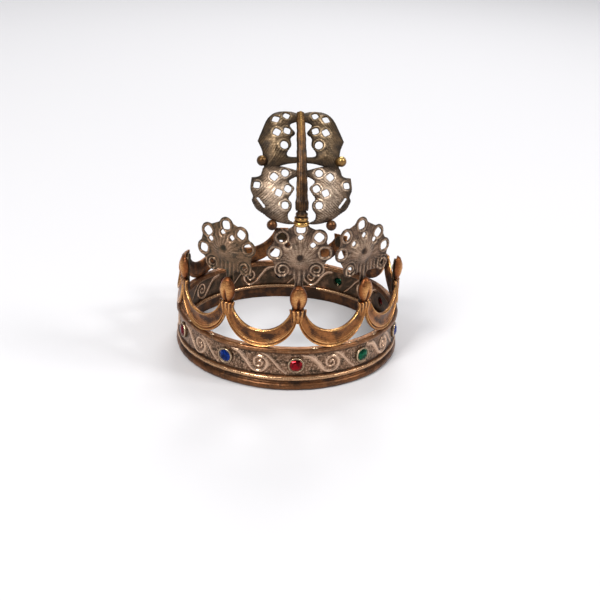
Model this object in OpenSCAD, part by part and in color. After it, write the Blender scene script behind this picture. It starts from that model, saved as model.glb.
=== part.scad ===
// Small ten-arched crown of gilded brass sheet, set with glass stones.
// The ring's axis is Z, the foot stands on Z = 0 and the front faces -Y.

/* [Band] */
// Outside radius of the frieze sheet
band_r = 65; // [60:0.5:70]
// Thickness of the frieze sheet
band_t = 1.4; // [1:0.1:1.8]
// Height of the frieze between its two mouldings
frieze_h = 13.1; // [12:0.1:16]
// How far the scrolls stand out of the frieze
relief = 0.6; // [0.4:0.1:0.8]

/* [Base ring] */
// Height of the base ring
base_h = 8.9; // [8:0.1:11]
// Inside radius of the head opening
bore_r = 62.6; // [57.5:0.1:67.6]
// Height of the head opening's plain wall
bore_h = 6.7; // [5.5:0.1:7]
// Chamfer at the top of the plain bore
bore_chamfer = 0.3; // [0.2:0.05:0.4]
// Radius of the foot roll
foot_roll_r = 2.2; // [1.8:0.1:2.4]
// Radius of the small roll above the foot roll
upper_roll_r = 1.25; // [1:0.05:1.5]
// Radius of the bead inside the ring, which stops the head
bead_r = 1.2; // [0.9:0.05:1.2]

/* [Top rim] */
// Height of the top rim
rim_h = 3.4; // [2.8:0.1:4]
// Flat on top of the rim, which the arches stand on
rim_land = 1.7; // [1.2:0.1:2.2]

/* [Arches] */
// Number of arches, uprights and stones
count = 10; // [10:1:10]
// Height of an arch from the rim to its tips
arch_h = 22.2; // [19:0.1:26]
// Width of the crescent at its lowest point
arch_web = 10.2; // [8:0.1:12]
// Radius of the arch's hollow edge
arch_hollow_r = 17; // [16:0.1:18.5]
// Radial thickness of an arch at its ribs
arch_t = 2.6; // [2:0.1:3]
// Depth of the flutes between the ribs
flute_d = 0.8; // [0.4:0.1:1.2]
// Sink of the round arch into its flat seat
arch_seat = 0.5; // [0.3:0.1:0.8]

/* [Uprights and knobs] */
// Width of an upright
post_w = 6.4; // [5:0.1:7]
// Length of an upright below the arch tips
post_l = 7; // [5:0.5:9]
// Thickness of an upright
post_t = 1.4; // [1:0.1:1.8]
// Length of a knob
knob_l = 14.4; // [12:0.1:16]
// Width of a knob
knob_w = 9.3; // [8:0.1:10]
// Gap between the arch tips and the knob
knob_gap = 0.3; // [0.2:0.1:0.6]
// Radius of a knob's rivet
rivet_r = 1; // [0.8:0.05:1.2]
// Radius of a rivet's head
rivet_head_r = 1.9; // [1.6:0.1:2.4]
// Height of a rivet's head
rivet_head_h = 0.8; // [0.6:0.1:1.2]

/* [Stones] */
// Radius of a stone at its girdle
gem_r = 3.6; // [3.2:0.05:4]
// Height of a stone above its girdle
gem_crown = 1.2; // [0.9:0.1:1.6]
// Depth of a stone below its girdle
gem_pavilion = 2.9; // [2.4:0.1:3.2]
// Wall of a stone's setting
collet_wall = 1.05; // [0.7:0.05:1.2]
// Height of a stone's setting above the frieze
collet_h = 1.8; // [1.5:0.1:2.2]
// Clearance round a stone in its setting
gem_gap = 0.05; // [0.03:0.01:0.1]

/* [Rosettes] */
// Height of a rosette's centre above a knob's centre
rosette_rise = 24.4; // [23:0.1:27]
// Thickness of the rosette sheet
rosette_t = 1; // [0.8:0.1:1.4]
// Distance of the loops from the rosette's centre
loop_ring_r = 13.2; // [12:0.1:14.5]
// Radius of the hole in a loop
loop_hole_r = 2.35; // [2:0.05:2.6]
// Width of a loop's wire
loop_wire = 1.9; // [1.5:0.1:2.2]
// Angle between neighbouring loops
loop_step = 46; // [44:1:48]
// Radius of the rosette's solid disc
disc_r = 10.4; // [10:0.1:11]
// Radius of the dome on the disc
dome_r = 6; // [5:0.1:6.4]
// Height of the dome on the disc
dome_h = 2; // [1:0.1:2.4]
// Width of the rosette's neck
neck_w = 4.6; // [4.4:0.1:6]

/* [Crest] */
// Radius of the curve that the crest follows
crest_r = 110.8; // [100:0.5:125]
// Backward tilt of the crest at its foot, in degrees
crest_tilt = 20; // [16:1:24]
// Length of the crest's spine along its curve
spine_l = 52; // [48:0.5:56]
// Width of the spine at its foot
spine_w = 5.8; // [5:0.1:6.4]
// Width of the spine at its tip
spine_tip_w = 3; // [2.6:0.1:3.6]
// Thickness of the spine
spine_t = 3; // [2.4:0.1:3.4]
// Thickness of the crest's leaves
leaf_t = 1; // [0.8:0.1:1.2]
// Height of the collar under the crest
collar_h = 6.9; // [6:0.1:8]
// Radius of the collar's lowest ring
collar_r = 4.2; // [3.8:0.1:4.6]
// Radius of the round beads on the crest
ball_r = 2.75; // [2.4:0.05:3]

/* [Hidden] */
$fn = 64;

bay = 360 / count;
rim_z = base_h + frieze_h;
rim_top = rim_z + rim_h;
gem_z = base_h + frieze_h / 2;

// Joint of the bead inside the ring, near the back
joint_turn = 177;
joint_gap = 10;
seam_t = 0.4;

// Rolls of the rim, either side of its flat top
rim_roll_r = rim_h / 2;
rim_land_out = band_r - 0.1;
rim_land_in = rim_land_out - rim_land;

// Arches stand on the flat of the rim, and the uprights join their tips from behind
arch_in = rim_land_in + 0.4;
arch_out = arch_in + arch_t;
arch_ball_r = (arch_in + arch_out) / 2 * sin(bay / 2);
arch_top = rim_top + arch_h;
post_front = arch_in;
post_back = post_front - post_t;

knob_z = arch_top + knob_gap + knob_l / 2;
front_posts = [0, 1, 2, 8, 9];
post_top = knob_z + knob_l / 2 - 2;

// Stones: their settings are trimmed to the frieze, and light reaches them through it
gem_seat = band_r + collet_h - 0.7;
collet_in = gem_r + gem_gap;
collet_out = collet_in + collet_wall;
ledge_r = 3.05 / 3.6 * gem_r;
ledge_h = 0.6;
window_r = 3 / 3.6 * gem_r;
gem_colours = ["firebrick", "seagreen", "royalblue", "firebrick", "seagreen",
    "royalblue", "firebrick", "seagreen", "firebrick", "royalblue"];

// Rosettes stand behind their uprights
plate_front = post_back;
plate_mid = plate_front - rosette_t / 2;
rosette_z = knob_z + rosette_rise;
loop_r = loop_hole_r + loop_wire;
neck_drop = rosette_rise + 4;

// Crest: one arc in the plane X = 0, starting on the collar
collar_base = rosette_z + loop_ring_r + loop_r - 1.6;
collar_top = collar_base + 1.6 + collar_h;
crest_y = -plate_mid + crest_r * cos(crest_tilt);
crest_z = collar_top - crest_r * sin(crest_tilt);
pin_r = 1.2;
pin_l = 4;

// ---- helpers ----

// A ring about Z from a rounded section
module ring(in, out, low, high) {
    translate([0, 0, low]) difference() {
        cylinder(r = out, h = high - low, $fn = 128);
        translate([0, 0, -1]) cylinder(r = in, h = high - low + 2, $fn = 128);
    }
}

// Draws an outline standing at the front: X is across and Y is up, extruded towards -Y
module standing(from, to) {
    translate([0, -from, 0]) rotate([90, 0, 0]) linear_extrude(to - from) children();
}

// Turns a piece made at the front to upright number i
module at_bay(i) { rotate([0, 0, bay * i]) children(); }

// Frame on the crest at a distance along its curve: X across, Y along it, Z outwards
module on_crest(s) {
    tilt = crest_tilt + s / crest_r * 180 / PI;
    translate([0, crest_y, crest_z]) rotate([90 - tilt, 0, 0]) children();
}

// A curved sheet of the crest with the outline of its children, which is drawn about s
module crest_sheet(s, thick) {
    on_crest(s) intersection() {
        translate([0, 0, crest_r - 15]) linear_extrude(30) children();
        rotate([0, 90, 0]) difference() {
            cylinder(r = crest_r + thick / 2, h = 80, center = true, $fn = 128);
            cylinder(r = crest_r - thick / 2, h = 81, center = true, $fn = 128);
        }
    }
}

// ---- band ----

module base_ring() {
    color("rosybrown") rotate_extrude($fn = 128) {
        polygon([[bore_r, 0], [band_r, 0], [band_r, bore_h], [bore_r + bore_chamfer, bore_h],
            [bore_r, bore_h - bore_chamfer]]);
        translate([bore_r + bead_r, 0]) square([band_r - bore_r - bead_r, base_h]);
        translate([band_r - 1, 0]) square([1.8, foot_roll_r]);
        translate([band_r - 0.2, foot_roll_r]) intersection() {
            circle(r = foot_roll_r, $fn = 48);
            translate([0, -foot_roll_r]) square([foot_roll_r, 2 * foot_roll_r]);
        }
        translate([band_r, base_h - upper_roll_r - 0.25]) intersection() {
            circle(r = upper_roll_r, $fn = 48);
            translate([-0.5, -upper_roll_r]) square([upper_roll_r + 0.5, 2 * upper_roll_r]);
        }
    }
}

// Half-round bead with a flat back and foot, seated in the base ring's step and cut at its joint
module inner_bead() {
    color("darkkhaki") rotate([0, 0, joint_turn - 90 + joint_gap / 2])
        rotate_extrude(angle = 360 - joint_gap, $fn = 128)
            translate([bore_r, bore_h + bead_r]) {
                circle(r = bead_r, $fn = 48);
                translate([0, -bead_r]) square([bead_r, bead_r]);
            }
}

// One bay's scroll work: a leaf falls into a volute, and a second line falls to the next stone
module scroll_bay() {
    translate([0, gem_z]) {
        difference() {
            circle(r = 4.4);
            circle(r = 3.2);
        }
        circle(r = 1.7);
        for (x = [-9.4, 8.4]) translate([x, 0]) rotate(44)
            square([1.6, frieze_h - 3.4], center = true);
    }
}

module frieze_band() {
    color("tan") union() {
        difference() {
            ring(band_r - band_t, band_r, base_h, rim_z);
            for (i = [0:count - 1]) at_bay(i) translate([0, -band_r + 5, gem_z])
                rotate([90, 0, 0]) cylinder(r = window_r, h = 10);
        }
        for (i = [0:count - 1]) rotate([0, 0, bay * (i + 0.5)]) intersection() {
            standing(band_r - 2.5, band_r + 3) scroll_bay();
            ring(band_r - 0.4, band_r + relief, base_h, rim_z);
        }
    }
}

module top_rim() {
    color("peru") rotate_extrude($fn = 128) {
        translate([rim_land_in, rim_z]) square([rim_land, rim_h]);
        for (x = [rim_land_in, rim_land_out])
            translate([x, rim_z + rim_roll_r]) circle(r = rim_roll_r, $fn = 48);
    }
}

// Plain strip that bridges the gap in the bead, on the base ring's step
module seam_plate() {
    color("saddlebrown") rotate([0, 0, joint_turn - 90 - joint_gap / 2])
        rotate_extrude(angle = joint_gap, $fn = 128)
            translate([bore_r + bead_r - seam_t, bore_h]) square([seam_t, base_h - bore_h]);
}

// ---- arches ----

// The crescent's edge at fraction t of its width: 0 is the outer edge, 1 the hollow edge
module arch_edge(t) {
    r = arch_ball_r + (arch_hollow_r - arch_ball_r) * t;
    low = rim_top - arch_seat + (arch_web + arch_seat) * t;
    translate([0, low + r]) circle(r = r, $fn = 96);
}

module arch_strip(t0, t1) {
    intersection() {
        difference() { arch_edge(t0); arch_edge(t1); }
        translate([-arch_ball_r - 1, rim_top]) square([2 * arch_ball_r + 2, arch_h]);
    }
}

module arch(i) {
    color("sienna") difference() {
        rotate([0, 0, bay * (i + 0.5)]) union() {
            intersection() {
                standing(arch_in - 6, arch_out + 3) arch_strip(0.02, 1);
                ring(arch_in, arch_out - flute_d, rim_top - 1, arch_top + 1);
            }
            intersection() {
                standing(arch_in - 6, arch_out + 3) {
                    arch_strip(0.02, 0.24);
                    arch_strip(0.38, 0.6);
                    arch_strip(0.76, 1);
                }
                ring(arch_in, arch_out, rim_top - 1, arch_top + 1);
            }
        }
        for (k = [i, i + 1]) at_bay(k)
            standing(post_back - 1, post_front) translate([-post_w / 2, arch_top - post_l])
                square([post_w, post_l + 1]);
    }
}

// ---- uprights, knobs and their rivets ----

module rivet_hole(depth) {
    translate([0, -depth, knob_z]) rotate([90, 0, 0]) cylinder(r = rivet_r, h = 20);
}

module upright(i) {
    carries_knob = len(search(i, front_posts)) > 0;
    top = carries_knob ? post_top : arch_top;
    color("peru") at_bay(i) difference() {
        standing(post_back, post_front) translate([-post_w / 2, arch_top - post_l])
            square([post_w, top - arch_top + post_l]);
        if (carries_knob) rivet_hole(post_back - 5);
    }
}

// Almond-shaped bead with a flat back, turned about its long axis
module knob(i) {
    side_r = (knob_w * knob_w + knob_l * knob_l) / (4 * knob_w);
    color("chocolate") at_bay(i) difference() {
        translate([0, -post_front, knob_z]) intersection() {
            rotate_extrude($fn = 64) intersection() {
                translate([knob_w / 2 - side_r, 0]) circle(r = side_r, $fn = 96);
                translate([0, -knob_l]) square([knob_w, 2 * knob_l]);
            }
            translate([-knob_w, -knob_w, -knob_l]) cube([2 * knob_w, knob_w, 2 * knob_l]);
        }
        translate([0, -post_front + 1, knob_z]) rotate([90, 0, 0])
            cylinder(r = rivet_r, h = 1 + knob_w / 4);
    }
}

// One rivet behind each knob, through the upright and, where there is one, the rosette's neck
module knob_rivets() {
    color("goldenrod") for (i = front_posts) at_bay(i) {
        carries_rosette = i == 0 || i == 1 || i == 9;
        inner = carries_rosette ? plate_front - rosette_t : post_back;
        translate([0, -inner, knob_z]) rotate([90, 0, 0]) {
            cylinder(r = rivet_r, h = post_front - inner + knob_w / 4);
            translate([0, 0, -rivet_head_h]) cylinder(r = rivet_head_r, h = rivet_head_h);
        }
    }
}

// ---- stones ----

module gem_settings() {
    color("darkgoldenrod") for (i = [0:count - 1]) at_bay(i) difference() {
        translate([0, -band_r + 2, gem_z]) rotate([90, 0, 0]) difference() {
            cylinder(r = collet_out, h = 2 + collet_h);
            translate([0, 0, 2 + ledge_h]) cylinder(r = collet_in, h = 5);
            translate([0, 0, -1]) cylinder(r = ledge_r, h = 9);
        }
        cylinder(r = band_r, h = 2 * rim_top, $fn = 128);
    }
}

module gem(i) {
    color(gem_colours[i]) at_bay(i) translate([0, -gem_seat, gem_z]) rotate([90, 0, 0])
        rotate_extrude($fn = 12) polygon([[0, -gem_pavilion], [gem_r, 0], [gem_r, 0.3],
            [gem_r * 0.6, gem_crown], [0, gem_crown]]);
}

// ---- rosettes ----

module rosette_outline() {
    translate([0, rosette_z]) difference() {
        union() {
            circle(r = disc_r);
            intersection() {
                circle(r = disc_r + 1.8);
                translate([-2 * disc_r, -disc_r / 2]) square(4 * disc_r);
            }
            for (j = [-3:3]) rotate(j * loop_step) translate([0, loop_ring_r]) circle(r = loop_r);
            translate([-neck_w / 2, -neck_drop]) square([neck_w, neck_drop]);
        }
        for (j = [-3:3]) rotate(j * loop_step) translate([0, loop_ring_r]) circle(r = loop_hole_r);
        for (j = [-1:1]) rotate(j * 50) translate([0, 8]) rotate(45) square(2.4, center = true);
    }
}

module rosette(i) {
    dome_ball_r = (dome_r * dome_r + dome_h * dome_h) / (2 * dome_h);
    color("gray") at_bay(i) difference() {
        union() {
            standing(plate_front - rosette_t, plate_front) rosette_outline();
            translate([0, -plate_front - dome_h + dome_ball_r, rosette_z - 1.5])
                intersection() {
                    sphere(r = dome_ball_r);
                    translate([-dome_r, -dome_ball_r, -dome_r])
                        cube([2 * dome_r, dome_h + rosette_t / 2, 2 * dome_r]);
                }
        }
        rivet_hole(plate_front - 5);
    }
}

// ---- crest ----

// Three stacked rings, slotted over the front rosette's top loop
module crest_collar() {
    color("darkgoldenrod") difference() {
        translate([0, -plate_mid, collar_base]) {
            cylinder(r = collar_r * 0.62, h = collar_top - collar_base);
            for (j = [0:2]) translate([0, 0, 1 + j * 2.5]) rotate_extrude($fn = 64)
                translate([collar_r * (0.62 - 0.06 * j), 0.9]) circle(r = 1.25 + 0.25 * (1 - j), $fn = 32);
        }
        standing(plate_front - rosette_t, plate_front) translate([0, rosette_z + loop_ring_r])
            circle(r = loop_r);
        translate([0, -plate_mid, collar_top - pin_l]) cylinder(r = pin_r, h = pin_l + 1);
        translate([-9, -plate_mid - 9, collar_top]) cube([18, 18, 5]);
    }
}

module spine_blank(extra) {
    crest_sheet(0, spine_t + extra) polygon([[-spine_w / 2, -3], [spine_w / 2, -3],
        [spine_tip_w / 2, spine_l], [-spine_tip_w / 2, spine_l]]);
}

module crest_spine() {
    color("goldenrod") {
        difference() {
            spine_blank(0);
            translate([-9, -plate_mid - 9, collar_top - 9]) cube([18, 18, 9]);
        }
        translate([0, -plate_mid, collar_top - pin_l + 0.2]) cylinder(r = pin_r, h = pin_l + 0.8);
    }
}

// Leaf outlines of the right side: X is across the crest and Y along it from its foot
lower_edge = [[0, 19], [7.5, 22], [14, 23], [19.5, 22.5], [21.5, 18], [25.5, 17], [26.5, 11],
    [25, 6], [24, 1], [19.5, -2.5], [16, -5], [12, -6.5], [7, -7.2], [3.5, -6.8], [6, -4.5],
    [7.7, 0.4], [5.7, 4.4], [5.9, 7.6], [4, 11.5], [6.6, 15.2]];
upper_edge = [[0, 51.5], [3.5, 53.5], [8.5, 54], [13.7, 53], [17.5, 49.5], [20.5, 42.5],
    [22.5, 37], [21, 33], [20, 29.5], [19, 24], [7, 23.5], [0, 25], [0, 27.5], [6.5, 28],
    [7.5, 30], [5.2, 34], [5.5, 38], [3, 41], [5.7, 45.8], [0, 48.6]];
// Holes, each with its place, radius and number of sides
lower_holes = [[8.8, 18.9, 1.9, 48], [14.5, 16.8, 1.9, 4], [12.1, 8.6, 1.8, 4],
    [7.2, 10.8, 1.7, 48], [8.8, 2.3, 1.9, 48], [23.4, 12.6, 1.8, 3]];
upper_holes = [[9, 33.8, 2, 48], [12.8, 40.6, 2.1, 4], [7.4, 41.7, 1.9, 3],
    [7.6, 50.4, 1.8, 3], [13.2, 48.3, 2, 4]];

module leaf_outline(edge, holes) {
    difference() {
        polygon(edge);
        for (h = holes) translate([h[0], h[1]]) circle(r = h[2], $fn = h[3]);
    }
}

module lower_leaf() {
    difference() {
        leaf_outline(lower_edge, lower_holes);
        translate([21.2, 3.8]) rotate(-37) square([1, 5], center = true);
    }
}

module upper_leaf() { leaf_outline(upper_edge, upper_holes); }

module lower_leaf_right() {
    difference() {
        crest_sheet(8, leaf_t) translate([0, -8]) lower_leaf();
        spine_blank(2);
        balls_cut();
    }
}

module upper_leaf_right() {
    difference() {
        crest_sheet(39, leaf_t) translate([0, -39]) upper_leaf();
        spine_blank(2);
        balls_cut();
    }
}

// Bead places along the crest, right side
module lower_ball() { on_crest(-7.8) translate([15.4, 0, crest_r]) sphere(r = ball_r); }
module middle_ball() { on_crest(25.4) translate([20.6, 0, crest_r]) sphere(r = ball_r); }
module balls_cut() { lower_ball(); middle_ball(); }

module crest_leaf(side, upper) {
    color(upper ? "darkkhaki" : "burlywood") mirror([side < 0 ? 1 : 0, 0, 0])
        if (upper) upper_leaf_right(); else lower_leaf_right();
}

module crest_ball(side, middle) {
    color("gold") mirror([side < 0 ? 1 : 0, 0, 0])
        if (middle) middle_ball(); else lower_ball();
}

base_ring();
inner_bead();
frieze_band();
top_rim();
seam_plate();
for (i = [0:count - 1]) {
    tag = str(i < 9 ? "0" : "", i + 1);
    arch(i);
    upright(i);
    gem(i);
}
for (i = front_posts) {
    tag = str(i < 9 ? "0" : "", i + 1);
    knob(i);
}
knob_rivets();
gem_settings();
rosette(0);  // rosette_front
rosette(1);  // rosette_right
rosette(9);  // rosette_left
crest_collar();
crest_spine();
crest_leaf(-1, false);  // crest_leaf_lower_left
crest_leaf(1, false);  // crest_leaf_lower_right
crest_leaf(-1, true);  // crest_leaf_upper_left
crest_leaf(1, true);  // crest_leaf_upper_right
crest_ball(-1, false);  // crest_ball_lower_left
crest_ball(1, false);  // crest_ball_lower_right
crest_ball(-1, true);  // crest_ball_middle_left
crest_ball(1, true);  // crest_ball_middle_right
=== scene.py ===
import math

import bmesh
import bpy
import numpy as np
from mathutils import Matrix, Vector


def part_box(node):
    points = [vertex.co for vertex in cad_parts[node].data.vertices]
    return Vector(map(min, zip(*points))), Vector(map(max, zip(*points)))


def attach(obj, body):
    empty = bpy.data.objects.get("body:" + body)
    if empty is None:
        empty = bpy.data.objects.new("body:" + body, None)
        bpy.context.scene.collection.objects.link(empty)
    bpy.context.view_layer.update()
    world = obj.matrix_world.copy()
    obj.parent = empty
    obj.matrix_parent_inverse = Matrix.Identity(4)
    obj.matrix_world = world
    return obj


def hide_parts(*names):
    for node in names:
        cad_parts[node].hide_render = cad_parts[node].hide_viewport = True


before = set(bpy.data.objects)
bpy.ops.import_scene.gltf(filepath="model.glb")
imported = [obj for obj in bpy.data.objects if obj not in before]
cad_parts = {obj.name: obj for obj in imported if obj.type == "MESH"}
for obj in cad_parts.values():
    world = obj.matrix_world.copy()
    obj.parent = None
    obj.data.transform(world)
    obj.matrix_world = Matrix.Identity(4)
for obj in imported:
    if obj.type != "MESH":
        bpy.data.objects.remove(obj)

# Shapes are drawn in millimetres and stored in metres
MM = 0.001
TAU = 2 * math.pi
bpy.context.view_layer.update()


# ---------------------------------------------------------------- sizes, from the frame

def low(node, axis=2):
    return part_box(node)[0][axis] / MM


def high(node, axis=2):
    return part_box(node)[1][axis] / MM


# The ring has ten bays. Bay 0 is at the front, and two bays either side of it carry knobs
BAYS = 10
BAY = 360 / BAYS
FRONTS = [index for index in range(BAYS) if min(index, BAYS - index) <= 2]

# Band, its mouldings and the bead inside it
SHEET_T = 1.4
RELIEF = 0.6
BAND_R = high("frieze_band", 0) - RELIEF
BASE_TOP = high("base_ring")
RIM_LOW = low("top_rim")
RIM_TOP = high("top_rim")
RIM_MIDDLE = (RIM_LOW + RIM_TOP) / 2
RIM_IN = 61.5
FRIEZE_H = RIM_LOW - BASE_TOP
GEM_Z = BASE_TOP + FRIEZE_H / 2
FOOT_R = high("base_ring", 0)
FOOT_ROLL_R = 2.2
UPPER_ROLL_R = 1.3
BORE_R = 62.6
BEAD_R = (high("inner_bead") - low("inner_bead")) / 2
BEAD_Z = low("inner_bead") + BEAD_R
BEAD_SHARE = 0.972

# Arches, with the uprights and knobs where they meet
ARCH_TOP = high("arch_01")
ARCH_IN = 63.6
ARCH_T = 2.6
ARCH_WEB = 10.2
ARCH_SINK = 0.35
ARCH_HOLLOW_R = 17.0
ARCH_BALL_R = (ARCH_IN + ARCH_T / 2) * math.sin(math.radians(BAY / 2))
POST_T = 1.4
POST_HALF = 3.2
POST_FRONT = ARCH_IN
POST_BACK = POST_FRONT - POST_T
POST_LOW = low("upright_01")
POST_TOP = high("upright_01")
KNOB_LOW = low("knob_01")
KNOB_TOP = high("knob_01")
KNOB_Z = (KNOB_LOW + KNOB_TOP) / 2
KNOB_HALF = 4.75
KNOB_DEPTH = 3.7

# Stones, their settings and the windows behind them
GEM_R = 3.6
GEM_SEAT = BAND_R + 1.1
SETTING_R = (high("gem_settings") - low("gem_settings")) / 2
WINDOW_R = 3.0

# Rosette plates, which stand behind the uprights
PLATE_T = 1.0
PLATE_MID = POST_BACK - PLATE_T / 2
PLATE_LOW = low("rosette_front")
LOOP_RING_R = 13.2
LOOP_R = 4.25
LOOP_HOLE_R = 2.35
VOLUTE_HOLE_R = 1.35
DIAMOND_R = 1.25
ROSETTE_Z = high("rosette_front") - LOOP_RING_R - LOOP_R
DOME_R = 8.6
DOME_H = 1.9

# Crest: one arc that starts upright on the collar and leans backwards
COLLAR_LOW = low("crest_collar")
COLLAR_TOP = high("crest_collar")
CREST_R = 110.8
CREST_TILT = math.radians(20)
CREST_Y = -PLATE_MID + CREST_R * math.cos(CREST_TILT)
CREST_Z = COLLAR_TOP - CREST_R * math.sin(CREST_TILT)
LEAF_T = 1.0
SPINE_L = 52.0
BALL_R = 2.75


# ---------------------------------------------------------------- stage, lights and camera

def place_camera():
    """Looks down at the front from a little to its left, tilted by a few degrees."""
    turn = Matrix.Rotation(math.radians(-6), 3, "Z")
    rise = math.radians(24)
    roll = math.radians(2.5)
    distance = 0.599
    target = Vector((0.0075, 0, 0.0257))
    back = Vector((0, -math.cos(rise), math.sin(rise)))
    side = Vector((1, 0, 0))
    up = back.cross(side)
    across = side * math.cos(roll) + up * math.sin(roll)
    upright = up * math.cos(roll) - side * math.sin(roll)
    axes = Matrix((turn @ across, turn @ upright, turn @ back)).transposed().to_4x4()
    axes.translation = turn @ (target + back * distance)
    camera = bpy.data.objects.new("camera", bpy.data.cameras.new("camera"))
    camera.data.sensor_width = 36
    camera.data.lens = 59.4
    camera.data.clip_start = 0.01
    camera.matrix_world = axes
    bpy.context.collection.objects.link(camera)
    bpy.context.scene.camera = camera


def soft_light(name, place, size, power, colour=(1, 1, 1)):
    """A square lamp that points at the middle of the crown."""
    light = bpy.data.lights.new(name, "AREA")
    light.size = size
    light.energy = power
    light.color = colour
    lamp = bpy.data.objects.new(name, light)
    lamp.location = place
    aim = Vector((0, 0, 0.06)) - Vector(place)
    lamp.rotation_euler = aim.to_track_quat("-Z", "Y").to_euler()
    bpy.context.collection.objects.link(lamp)


def light_world():
    """Pale at the horizon, dark above it so that the metal has contrast, and bright overhead."""
    world = bpy.data.worlds.new("studio")
    world.use_nodes = True
    bpy.context.scene.world = world
    tree = world.node_tree
    place = tree.nodes.new("ShaderNodeTexCoord")
    split = tree.nodes.new("ShaderNodeSeparateXYZ")
    ramp = tree.nodes.new("ShaderNodeValToRGB")
    ramp.color_ramp.elements[0].position = 0.12
    ramp.color_ramp.elements[0].color = (1.0, 0.985, 1.02, 1)
    ramp.color_ramp.elements[1].position = 0.38
    ramp.color_ramp.elements[1].color = (0.13, 0.13, 0.14, 1)
    zenith = ramp.color_ramp.elements.new(0.9)
    zenith.color = (0.8, 0.8, 0.8, 1)
    tree.links.new(place.outputs["Generated"], split.inputs[0])
    tree.links.new(split.outputs["Z"], ramp.inputs["Fac"])
    tree.links.new(ramp.outputs["Color"], tree.nodes["Background"].inputs["Color"])
    tree.nodes["Background"].inputs["Strength"].default_value = 0.82


def lay_floor():
    """A pale table top in the plane of the foot."""
    reach = 2.2
    mesh = bpy.data.meshes.new("floor")
    corners = [(-reach, -reach, 0), (reach, -reach, 0), (reach, reach, 0), (-reach, reach, 0)]
    mesh.from_pydata(corners, [], [(0, 1, 2, 3)])
    floor = bpy.data.objects.new("floor", mesh)
    bpy.context.collection.objects.link(floor)
    material = bpy.data.materials.new("pale_floor")
    material.use_nodes = True
    surface = material.node_tree.nodes["Principled BSDF"]
    surface.inputs["Base Color"].default_value = (0.8, 0.795, 0.815, 1)
    surface.inputs["Roughness"].default_value = 0.8
    mesh.materials.append(material)


# ---------------------------------------------------------------- shader node groups

def new_group(name, inputs, outputs):
    """An empty shader node group with its input and output nodes."""
    group = bpy.data.node_groups.new(name, "ShaderNodeTree")
    for label, kind, value in inputs:
        socket = group.interface.new_socket(name=label, in_out="INPUT", socket_type=kind)
        socket.default_value = value
    for label, kind in outputs:
        group.interface.new_socket(name=label, in_out="OUTPUT", socket_type=kind)
    return group, group.nodes.new("NodeGroupInput"), group.nodes.new("NodeGroupOutput")


FLOAT = "NodeSocketFloat"
INTEGER = "NodeSocketInt"
COLOUR = "NodeSocketColor"


class Wires:
    """Short forms for the nodes that the groups share."""

    def __init__(self, tree):
        self.tree = tree

    def put(self, value, socket):
        if isinstance(value, bpy.types.NodeSocket):
            self.tree.links.new(value, socket)
        else:
            socket.default_value = value

    def math(self, operation, *values, clamp=False):
        node = self.tree.nodes.new("ShaderNodeMath")
        node.operation = operation
        node.use_clamp = clamp
        for value, socket in zip(values, node.inputs):
            self.put(value, socket)
        return node.outputs[0]

    def noise(self, place, scale, detail=4.0, roughness=0.55):
        node = self.tree.nodes.new("ShaderNodeTexNoise")
        node.inputs["Detail"].default_value = detail
        node.inputs["Roughness"].default_value = roughness
        self.tree.links.new(place, node.inputs["Vector"])
        self.put(scale, node.inputs["Scale"])
        return node.outputs["Fac"]

    def ramp(self, value, start, stop, first=0.0, last=1.0):
        node = self.tree.nodes.new("ShaderNodeMapRange")
        node.interpolation_type = "SMOOTHSTEP"
        for value_in, socket in zip((value, start, stop, first, last), node.inputs):
            self.put(value_in, socket)
        return node.outputs[0]

    def mix(self, factor, first, second):
        node = self.tree.nodes.new("ShaderNodeMix")
        node.data_type = "RGBA"
        self.put(factor, node.inputs["Factor"])
        self.put(first, node.inputs[6])
        self.put(second, node.inputs[7])
        return node.outputs[2]

    def stretch(self, place, scale):
        node = self.tree.nodes.new("ShaderNodeMapping")
        node.inputs["Scale"].default_value = scale
        self.tree.links.new(place, node.inputs["Vector"])
        return node.outputs[0]


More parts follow.
